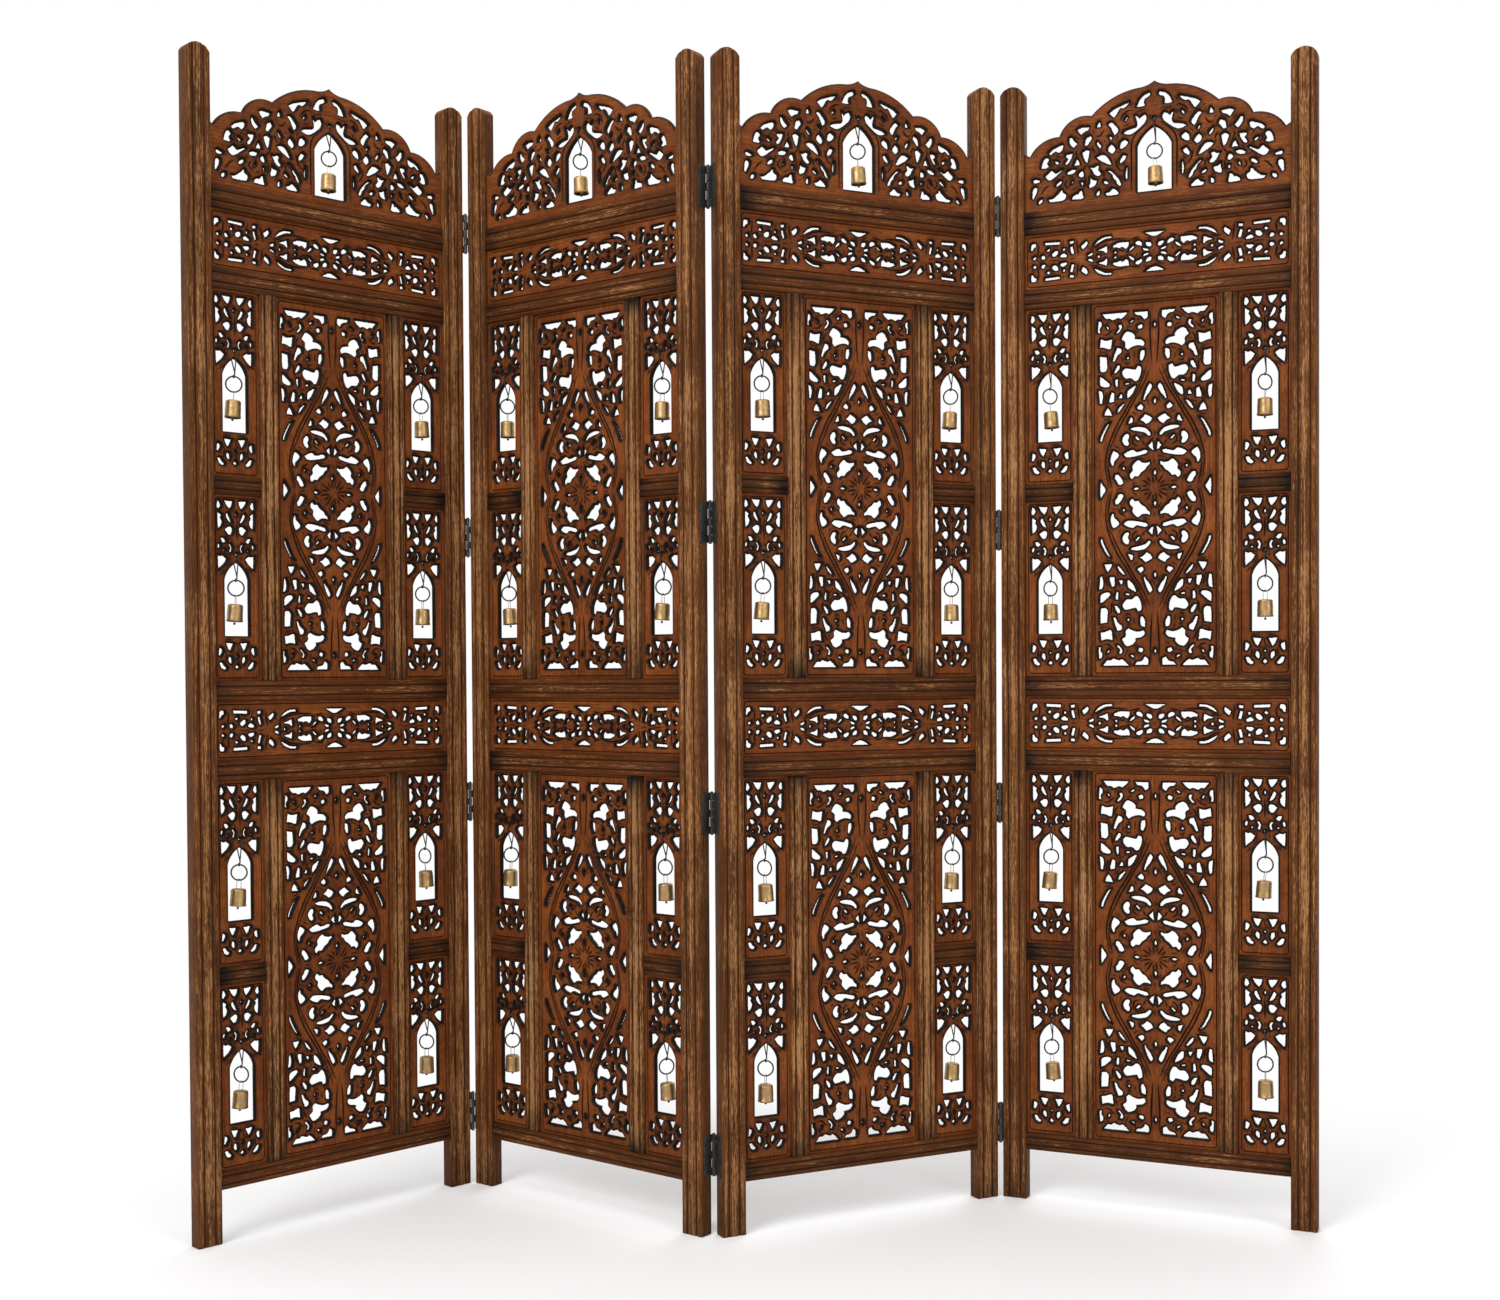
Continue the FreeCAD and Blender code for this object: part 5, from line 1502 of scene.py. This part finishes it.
# Each timber's colours, how far it is rubbed and how cloudy its stain lies; on the bars the rub is also a
# painted highlight, strongest on the mullions
Timber = namedtuple("Timber", "plain dark rubbed sooty rub cloudy")
TIMBERS = {
    "stile_timber": Timber("brown", "dark_brown", "gold", "burnt", 0.62, 0.25),
    "mullion_timber": Timber("brown", "dark_brown", "gold", "burnt", 0.76, 0.25),
    "rail_timber": Timber("rail_brown", "dark_brown", "gold", "burnt", 0.44, 0.25),
    "carving_timber": Timber("red_brown", "deep_red", "orange", "crowded", 0.52, 0.6),
}

# Each metal's colours, the fineness of its tarnish, its roughness, how dull it is and how metallic
Metal = namedtuple("Metal", "bright dull cloud_size rough dullness metallic")
METALS = {
    "bell_iron": Metal("worn_iron", "iron", 300.0, 0.42, 0.8, 0.6),
    "antique_brass": Metal("brass", "patina", 140.0, 0.33, 0.5, 0.85),
    "bright_wire": Metal("wire", "worn_iron", 400.0, 0.35, 0.5, 1.0),
    "hinge_iron": Metal("worn_iron", "iron", 90.0, 0.4, 0.9, 0.5),
    "screw_steel": Metal("worn_iron", "iron", 160.0, 0.32, 0.4, 0.9),
}
BELL_METALS = ("bell_iron", "antique_brass", "bright_wire")
HINGE_METALS = ("hinge_iron", "screw_steel")


class Graph:
    """Short calls that add nodes to one tree. An input that is a socket is linked, and any other is set."""

    def __init__(self, tree):
        self.tree = tree

    def add(self, kind, inputs=(), **settings):
        """A node with its settings and inputs."""
        node = self.tree.nodes.new(kind)
        for name, value in settings.items():
            setattr(node, name, value)
        self.feed(node, dict(inputs))
        return node

    def feed(self, node, inputs):
        """Sets or links a node's inputs."""
        for key, value in inputs.items():
            if isinstance(value, bpy.types.NodeSocket):
                self.tree.links.new(value, node.inputs[key])
            else:
                node.inputs[key].default_value = value

    def use(self, node_group, inputs):
        """The outputs of a shared node group, placed with its own inputs."""
        return self.add("ShaderNodeGroup", inputs, node_tree=node_group).outputs

    def blend(self, first, first_share, second, second_share):
        """The sum of two values, each times its share."""
        first_part = self.math("MULTIPLY", first, first_share)
        return self.math("ADD", first_part, self.math("MULTIPLY", second, second_share))

    def math(self, operation, first, second=0.0, clamp=False):
        """One step of arithmetic."""
        node = self.add("ShaderNodeMath", {0: first, 1: second}, operation=operation, use_clamp=clamp)
        return node.outputs[0]

    def ramp(self, value, low, high, out_low=0.0, out_high=1.0):
        """A soft step from one value to another."""
        inputs = {"Value": value, "From Min": low, "From Max": high, "To Min": out_low, "To Max": out_high}
        return self.add("ShaderNodeMapRange", inputs, interpolation_type="SMOOTHSTEP").outputs["Result"]

    def mix(self, share, first, second):
        """One colour over another."""
        node = self.add("ShaderNodeMix", {0: share, 6: first, 7: second}, data_type="RGBA")
        return node.outputs[2]

    def noise(self, vector, scale, detail, roughness=0.5):
        """Fractal noise about one half."""
        inputs = {"Vector": vector, "Scale": scale, "Detail": detail, "Roughness": roughness}
        return self.add("ShaderNodeTexNoise", inputs).outputs[0]

    def stretch(self, vector, factors):
        """A vector scaled along each axis."""
        inputs = {0: vector, 1: factors}
        return self.add("ShaderNodeVectorMath", inputs, operation="MULTIPLY").outputs[0]


def group(name, inputs, outputs, build):
    """A shared shader node group, built once."""
    made = bpy.data.node_groups.get(name)
    if made:
        return made
    made = bpy.data.node_groups.new(name, "ShaderNodeTree")
    for socket, kind, default in inputs:
        made.interface.new_socket(socket, in_out="INPUT", socket_type=kind).default_value = default
    for socket in outputs:
        made.interface.new_socket(socket, in_out="OUTPUT", socket_type="NodeSocketFloat")
    graph = Graph(made)
    start = graph.add("NodeGroupInput")
    end = graph.add("NodeGroupOutput")
    for socket, value in build(graph, start.outputs).items():
        made.links.new(value, end.inputs[socket])
    return made


def wood_grain():
    """Fibres, broad bands and pores that run along the third axis of a place in the timber."""

    def build(graph, given):
        place = given["Place"]
        fibres = graph.noise(graph.stretch(place, (430, 430, 10)), 1.0, 5, 0.75)
        flecks = graph.noise(graph.stretch(place, (760, 760, 85)), 1.0, 4, 0.7)
        bands = graph.noise(graph.stretch(place, (48, 48, 2.0)), 1.0, 3, 0.55)
        patches = graph.noise(place, 8.0, 3, 0.55)
        mottle = graph.noise(place, 75.0, 4, 0.6)
        return {
            "Fibres": graph.ramp(fibres, 0.36, 0.64),
            "Flecks": graph.ramp(flecks, 0.4, 0.66),
            "Bands": graph.ramp(bands, 0.34, 0.66),
            "Patches": graph.ramp(patches, 0.34, 0.66),
            "Mottle": graph.ramp(mottle, 0.34, 0.66),
        }

    inputs = [("Place", "NodeSocketVector", (0, 0, 0))]
    return group("Wood grain", inputs, ("Fibres", "Flecks", "Bands", "Patches", "Mottle"), build)


def rubbed_and_highlighted_ridges():
    """Where handling has rubbed the stain off raised fibres, and on the bars a painted highlight on reed
    crowns and edges.
    """

    def build(graph, given):
        fibre = graph.math("MULTIPLY", given["Fibres"], 0.42)
        fleck = graph.math("MULTIPLY", given["Flecks"], 0.46)
        raised = graph.math("MULTIPLY", given["Ridge"], 0.45)
        place = graph.math("MULTIPLY", given["Patches"], 0.25)
        total = graph.math("ADD", graph.math("ADD", fibre, fleck), graph.math("ADD", raised, place))
        start = graph.math("SUBTRACT", 1.4, given["Amount"])
        end = graph.math("ADD", start, 0.5)
        return {"Mask": graph.ramp(total, start, end)}

    inputs = [(name, "NodeSocketFloat", 0.5) for name in ("Fibres", "Flecks", "Patches", "Ridge", "Amount")]
    return group("Rubbed ridges", inputs, ("Mask",), build)


def burnt_and_shaded_hollows():
    """Where the torch and the stain have left grooves, cut edges and joints dark, with painted shade in the
    grooves and cut edges as well.
    """

    def build(graph, given):
        fibrous = graph.math("ADD", given["Hollow"], graph.math("MULTIPLY", given["Fibres"], 0.12))
        hollow = graph.ramp(fibrous, 0.18, 0.85)
        soot = graph.math("MULTIPLY", given["Soot"], graph.math("ADD", given["Patches"], 0.35))
        return {"Burn": hollow, "Soot": graph.math("MULTIPLY", soot, 0.95, clamp=True)}

    inputs = [(name, "NodeSocketFloat", 0.0) for name in ("Hollow", "Soot", "Fibres", "Patches")]
    return group("Burnt hollows", inputs, ("Burn", "Soot"), build)


def metal_tarnish():
    """Cloudy and speckled tarnish over metal."""

    def build(graph, given):
        clouds = graph.noise(given["Place"], given["Cloud size"], 4, 0.6)
        specks = graph.noise(given["Place"], graph.math("MULTIPLY", given["Cloud size"], 6.0), 3, 0.6)
        both = graph.blend(clouds, 0.65, specks, 0.35)
        return {"Clouds": graph.ramp(both, 0.36, 0.64), "Specks": graph.ramp(specks, 0.4, 0.66)}

    inputs = [("Place", "NodeSocketVector", (0, 0, 0)), ("Cloud size", "NodeSocketFloat", 120.0)]
    return group("Metal tarnish", inputs, ("Clouds", "Specks"), build)


def colour_of(name):
    """A colour property as a socket's four numbers."""
    return (*getattr(bpy.context.scene.divider_colours, name), 1.0)


def new_material(name):
    """A material with its graph and its shader."""
    material = bpy.data.materials.new(name)
    material.use_nodes = True
    return material, Graph(material.node_tree), material.node_tree.nodes["Principled BSDF"]


def stored(graph):
    """What each point of a piece stores: its place in the timber or metal, and its wear in three parts."""
    place = graph.add("ShaderNodeAttribute", attribute_name="grain").outputs["Vector"]
    wear = graph.add("ShaderNodeAttribute", attribute_name="wear").outputs["Vector"]
    return place, graph.add("ShaderNodeSeparateXYZ", {0: wear}).outputs


def timber(name):
    """Stained timber: bands, rubbed fibres on ridges with painted highlights, burnt hollows with painted
    shade, and fine grain.
    """
    found = bpy.data.materials.get(name)
    if found:
        return found
    finish = TIMBERS[name]
    material, graph, shader = new_material(name)
    place, wear = stored(graph)
    grain = graph.use(wood_grain(), {"Place": place})
    fibres, flecks, bands, patches = (grain[key] for key in ("Fibres", "Flecks", "Bands", "Patches"))
    rub_and_highlight_inputs = {"Fibres": fibres, "Flecks": flecks, "Patches": patches, "Ridge": wear["Y"]}
    rub = graph.use(rubbed_and_highlighted_ridges(), {**rub_and_highlight_inputs, "Amount": finish.rub})
    burn_and_shade_inputs = {"Hollow": wear["X"], "Soot": wear["Z"], "Fibres": fibres, "Patches": patches}
    burn_and_shade = graph.use(burnt_and_shaded_hollows(), burn_and_shade_inputs)
    clouds = graph.math("MULTIPLY", graph.math("ADD", patches, grain["Mottle"]), finish.cloudy / 2)
    streaks = graph.math("MULTIPLY", graph.blend(fibres, 0.7, bands, 0.3), 1 - finish.cloudy)
    base = graph.mix(graph.math("ADD", streaks, clouds), colour_of(finish.dark), colour_of(finish.plain))
    # Rubbed colour over ridges: rubbed stain and painted highlight.
    base = graph.mix(graph.math("MULTIPLY", rub["Mask"], RUB_STRENGTH), base, colour_of(finish.rubbed))
    base = graph.mix(burn_and_shade["Soot"], base, colour_of(finish.sooty))
    # Burnt colour over hollows: burnt stain and painted shade.
    base = graph.mix(burn_and_shade["Burn"], base, colour_of("burnt"))
    rough = graph.math("ADD", graph.math("MULTIPLY", fibres, WOOD_ROUGH_SPREAD), WOOD_ROUGH)
    height = graph.blend(fibres, 0.6, flecks, 0.4)
    bump = graph.add("ShaderNodeBump", {"Height": height, **WOOD_BUMP})
    graph.feed(shader, {"Base Color": base, "Roughness": rough, "Normal": bump.outputs[0]})
    shader.inputs["Specular IOR Level"].default_value = WOOD_SHEEN
    return material


def metal(name):
    """Metal with tarnish in its hollows and in clouds."""
    found = bpy.data.materials.get(name)
    if found:
        return found
    finish = METALS[name]
    material, graph, shader = new_material(name)
    place, wear = stored(graph)
    tarnish = graph.use(metal_tarnish(), {"Place": place, "Cloud size": finish.cloud_size})
    clouds = graph.math("MULTIPLY", tarnish["Clouds"], finish.dullness)
    dirt = graph.math("MAXIMUM", clouds, graph.math("MULTIPLY", wear["X"], METAL_DIRT), clamp=True)
    base = graph.mix(dirt, colour_of(finish.bright), colour_of(finish.dull))
    rough = graph.math("ADD", graph.math("MULTIPLY", dirt, METAL_ROUGH_SPREAD), finish.rough)
    bump = graph.add("ShaderNodeBump", {"Height": tarnish["Specks"], **METAL_BUMP})
    graph.feed(shader, {"Base Color": base, "Roughness": rough, "Normal": bump.outputs[0]})
    shader.inputs["Metallic"].default_value = finish.metallic
    return material


# Operators

STILE_SEED, BAR_SEED, BOARD_SEED, WINDOW_SEED, BELL_SEED, HINGE_SEED = range(11, 17)


class PieceMaker:
    """What the operators share."""

    bl_options = {"REGISTER", "UNDO"}


class DIVIDER_OT_stiles(PieceMaker, bpy.types.Operator):
    """Makes the eight reeded stiles with arched tops"""

    bl_idname = "divider.stiles"
    bl_label = "Stiles"

    def execute(self, context):
        sizes = context.scene.divider_sizes
        width, thickness, height = (float(side) for side in STILE.high - STILE.low)
        blank = reeded_bar(width, thickness, height, sizes, arch_rise=sizes.arch_rise / MM)
        shape = blank.mesh("stile", [timber("stile_timber")], BAR_SHARP)
        chance = random.Random(STILE_SEED)
        for panel in PANELS:
            for word, side in (("left", -1), ("right", 1)):
                mesh = shape.copy()
                lay_grain(mesh, "z", chance)
                middle = side * (HALF_OPENING + width / 2) * MM
                place = panel_place(panel) @ Matrix.Translation((middle, 0, 0))
                node = f"{panel}_{word}_stile"
                put(node + "_wood", mesh, place, panel, [node])
        return {"FINISHED"}


class DIVIDER_OT_inner_frame(PieceMaker, bpy.types.Operator):
    """Makes the rails, mullions and cross rails between the stiles"""

    bl_idname = "divider.inner_frame"
    bl_label = "Rails and mullions"

    def execute(self, context):
        sizes = context.scene.divider_sizes
        chance = random.Random(BAR_SEED)
        bars = sorted(BARS, key=lambda solid: (-round(float(solid.low[2])), float(solid.low[0])))
        for number, solid in enumerate(bars, 1):
            u, v, z = (float(side) for side in solid.high - solid.low)
            lying = u > z
            width, length = (z, u - 2 * SEAT) if lying else (u, z - 2 * SEAT)
            finish = timber("rail_timber" if lying else "mullion_timber")
            shape = reeded_bar(width, v, length, sizes, lying).mesh("bar", [finish], BAR_SHARP)
            low = (solid.low + solid.high) / 2
            low[0 if lying else 2] -= length / 2
            kind = "mullion" if not lying else "rail" if u > 2 * SEAT + HALF_OPENING else "cross_rail"
            for panel in PANELS:
                mesh = shape.copy()
                lay_grain(mesh, "x" if lying else "z", chance)
                place = panel_place(panel) @ Matrix.Translation(Vector(low) * MM)
                put(f"{panel}_{kind}_{number}", mesh, place, panel, [f"{panel}_inner_frame"])
        return {"FINISHED"}


def put_boards(blank, solids, name, along, chance, node, foot=False):
    """Copies of one carved board at its places on every panel, drawn about its middle or its foot."""
    shape = blank.mesh(name, [timber("carving_timber")], BOARD_SHARP)
    for number, solid in enumerate(solids, 1):
        middle = (solid.low + solid.high) / 2
        if foot:
            middle[2] = solid.low[2] + SEAT
        for panel in PANELS:
            mesh = shape.copy()
            lay_grain(mesh, along, chance)
            place = panel_place(panel) @ Matrix.Translation(Vector(middle) * MM)
            put(f"{panel}_{name}_{number}", mesh, place, panel, [f"{panel}_{node}"])


class DIVIDER_OT_carved_boards(PieceMaker, bpy.types.Operator):
    """Makes the pierced crests, friezes and centre boards"""

    bl_idname = "divider.carved_boards"
    bl_label = "Carved boards"

    def execute(self, context):
        chance = random.Random(BOARD_SEED)
        friezes = [solid for solid in CARVED[1:] if solid.high[0] > HALF_OPENING]
        centres = [solid for solid in CARVED[1:] if solid.high[0] < HALF_OPENING]
        put_boards(crest_board(), CARVED[:1], "crest", "x", chance, "carved_boards", foot=True)
        put_boards(frieze_board(), friezes, "frieze", "x", chance, "carved_boards")
        put_boards(centre_board(), centres, "centre", "z", chance, "carved_boards")
        return {"FINISHED"}


class DIVIDER_OT_window_boards(PieceMaker, bpy.types.Operator):
    """Makes the narrow pierced boards with arched windows"""

    bl_idname = "divider.window_boards"
    bl_label = "Window boards"

    def execute(self, context):
        solids = sorted(WINDOWED, key=lambda solid: (-float(solid.high[2]), float(solid.low[0])))
        chance = random.Random(WINDOW_SEED)
        put_boards(window_board(), solids, "window_board", "z", chance, "window_boards")
        return {"FINISHED"}


class DIVIDER_OT_bells(PieceMaker, bpy.types.Operator):
    """Hangs a brass bell in each window, each on its own body"""

    bl_idname = "divider.bells"
    bl_label = "Bells"

    def execute(self, context):
        finishes = [metal(name) for name in BELL_METALS]
        chance = random.Random(BELL_SEED)
        for joint in JOINTS.values():
            body = joint["child"]
            if "bell" not in body:
                continue
            place = panel_place(joint["parent"])
            facing = -math.degrees(place.to_euler().z)
            mesh = bell_blank(chance, facing).mesh("bell", finishes, BELL_SHARP)
            lay_grain(mesh, "z", chance)
            place.translation = Vector(joint["pos_m"])
            put(body + "_metal", mesh, place, body, [body])
        return {"FINISHED"}


class DIVIDER_OT_hinges(PieceMaker, bpy.types.Operator):
    """Makes the butt hinges with their pins and screws"""

    bl_idname = "divider.hinges"
    bl_label = "Hinges"

    def execute(self, context):
        finishes = [metal(name) for name in HINGE_METALS]
        chance = random.Random(HINGE_SEED)
        for panel in PANELS:
            for number, (pivot, blank) in enumerate(hinge_leaves(panel), 1):
                mesh = blank.mesh("hinge_leaf", finishes, HINGE_SHARP)
                lay_grain(mesh, "z", chance)
                place = panel_place(panel) @ Matrix.Translation(pivot * MM)
                put(f"{panel}_hinge_leaf_{number}", mesh, place, panel, [panel + "_hinges"])
        return {"FINISHED"}


# Camera, from the front of the middle fold
CAMERA_LENS = 43.1
CAMERA_AWAY = 2.777
CAMERA_RIGHT = 0.068
CAMERA_HEIGHT = 0.873
CAMERA_PITCH = -1.05
CAMERA_ROLL = 0.32
CAMERA_SHIFT = (-0.0033, 0.0367)

# Floor: its width, and where it turns to plain white, as distances in a stretched plan
FLOOR_SIZE = 30.0
FLOOR_CLEAR = (0.75, 1.5)
FLOOR_OVAL = (0.75, 1.6, 1.0)
WHITE = (1, 1, 1, 1)

# Each lamp's place, the point that it faces and its width
LAMPS = {
    "key": ((-2.6, -3.6, 3.4), (0, 0, 0.9), 2.4),
    "fill": ((3.2, -3.4, 2.0), (0, 0, 0.9), 2.4),
    "top": ((0, -0.4, 4.6), (0, -0.4, 0), 4.0),
    "back": ((1.4, 3.8, 2.8), (0, 0, 0.9), 2.8),
}


def plainly_seen(graph):
    """1 where the camera sees the background, directly or in metal or through glass, and else 0."""
    path = graph.add("ShaderNodeLightPath").outputs
    mirrored_or_direct = graph.math("MAXIMUM", path["Is Camera Ray"], path["Is Glossy Ray"])
    return graph.math("MAXIMUM", mirrored_or_direct, path["Is Transmission Ray"])


def studio_floor():
    """Pale floor that keeps the shadow near the screen and turns plain white further out."""
    material, graph, shader = new_material("studio_floor")
    graph.feed(shader, {"Base Color": colour_of("floor"), "Roughness": 0.9})
    position = graph.add("ShaderNodeNewGeometry").outputs["Position"]
    stretched = graph.stretch(position, FLOOR_OVAL)
    distance = graph.add("ShaderNodeVectorMath", {0: stretched}, operation="LENGTH").outputs["Value"]
    far = graph.ramp(distance, *FLOOR_CLEAR)
    white = graph.add("ShaderNodeEmission", {"Color": WHITE, "Strength": 1.0})
    share = graph.math("MULTIPLY", far, plainly_seen(graph))
    both = graph.add("ShaderNodeMixShader", {0: share, 1: shader.outputs[0], 2: white.outputs[0]})
    output = material.node_tree.nodes["Material Output"]
    graph.tree.links.new(both.outputs[0], output.inputs["Surface"])
    return material


def studio_world(strength):
    """Even fill light, with a plain white background where the camera looks past the screen."""
    world = bpy.data.worlds.new("studio")
    world.use_nodes = True
    graph = Graph(world.node_tree)
    fill = world.node_tree.nodes["Background"]
    graph.feed(fill, {"Strength": strength, "Color": WHITE})
    white = graph.add("ShaderNodeBackground", {"Color": WHITE, "Strength": 1.0})
    both = graph.add("ShaderNodeMixShader", {0: plainly_seen(graph), 1: fill.outputs[0], 2: white.outputs[0]})
    output = world.node_tree.nodes["World Output"]
    graph.tree.links.new(both.outputs[0], output.inputs["Surface"])
    return world


def softbox(name, power, place, target, size):
    """A soft square lamp that faces a point."""
    lamp = bpy.data.lights.new(name, "AREA")
    lamp.energy = power
    lamp.size = size
    holder = bpy.data.objects.new(name, lamp)
    bpy.context.scene.collection.objects.link(holder)
    holder.location = place
    holder.rotation_euler = (Vector(target) - Vector(place)).to_track_quat("-Z", "Y").to_euler()
    holder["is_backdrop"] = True


class DIVIDER_OT_stage(PieceMaker, bpy.types.Operator):
    """Sets the pale floor, the soft lamps, the white background and the camera"""

    bl_idname = "divider.stage"
    bl_label = "Stage"

    def execute(self, context):
        light = context.scene.divider_light
        plane = bpy.data.meshes.new("studio_floor")
        half = FLOOR_SIZE / 2
        corners = [(-half, -half, 0), (half, -half, 0), (half, half, 0), (-half, half, 0)]
        plane.from_pydata(corners, [], [(0, 1, 2, 3)])
        plane.materials.append(studio_floor())
        floor = bpy.data.objects.new("studio_floor", plane)
        context.scene.collection.objects.link(floor)
        floor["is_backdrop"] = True
        context.scene.world = studio_world(light.world)
        for name, setting in LAMPS.items():
            softbox(f"{name}_lamp", getattr(light, name), *setting)
        lens = bpy.data.cameras.new("camera")
        lens.lens = CAMERA_LENS
        lens.shift_x, lens.shift_y = CAMERA_SHIFT
        camera = bpy.data.objects.new("camera", lens)
        context.scene.collection.objects.link(camera)
        fold = Vector(JOINTS["fold_2_3"]["pos_m"])
        camera.location = (fold.x + CAMERA_RIGHT, fold.y - CAMERA_AWAY, CAMERA_HEIGHT)
        camera.rotation_euler = (math.radians(90 + CAMERA_PITCH), math.radians(CAMERA_ROLL), 0)
        context.scene.camera = camera
        context.scene.view_settings.view_transform = "Standard"
        return {"FINISHED"}


OPERATORS = (
    DIVIDER_OT_stiles,
    DIVIDER_OT_inner_frame,
    DIVIDER_OT_carved_boards,
    DIVIDER_OT_window_boards,
    DIVIDER_OT_bells,
    DIVIDER_OT_hinges,
    DIVIDER_OT_stage,
)
GROUPS = {"divider_sizes": DividerSizes, "divider_colours": DividerColours, "divider_light": DividerLight}


class DIVIDER_PT_panel(bpy.types.Panel):
    """The divider's sizes, colours, light and operators"""

    bl_label = "Carved room divider"
    bl_space_type = "VIEW_3D"
    bl_region_type = "UI"
    bl_category = "Divider"

    def draw(self, context):
        for name, kind in GROUPS.items():
            column = self.layout.column(align=True)
            for field in kind.__annotations__:
                column.prop(getattr(context.scene, name), field)
        for operator in OPERATORS:
            self.layout.operator(operator.bl_idname)


CLASSES = (*GROUPS.values(), *OPERATORS, DIVIDER_PT_panel)


def register():
    for kind in CLASSES:
        bpy.utils.register_class(kind)
    for name, kind in GROUPS.items():
        setattr(bpy.types.Scene, name, bpy.props.PointerProperty(type=kind))


def unregister():
    for name in GROUPS:
        delattr(bpy.types.Scene, name)
    for kind in reversed(CLASSES):
        bpy.utils.unregister_class(kind)


def main():
    register()
    bpy.ops.divider.stiles()
    bpy.ops.divider.inner_frame()
    bpy.ops.divider.carved_boards()
    bpy.ops.divider.window_boards()
    bpy.ops.divider.bells()
    bpy.ops.divider.hinges()
    bpy.ops.divider.stage()
    boxes = {"cad": CAD_BOX, "visual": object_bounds()}
    {name: [list(corner) for corner in box] for name, box in boxes.items()}


if __name__ == "__main__":
    main()
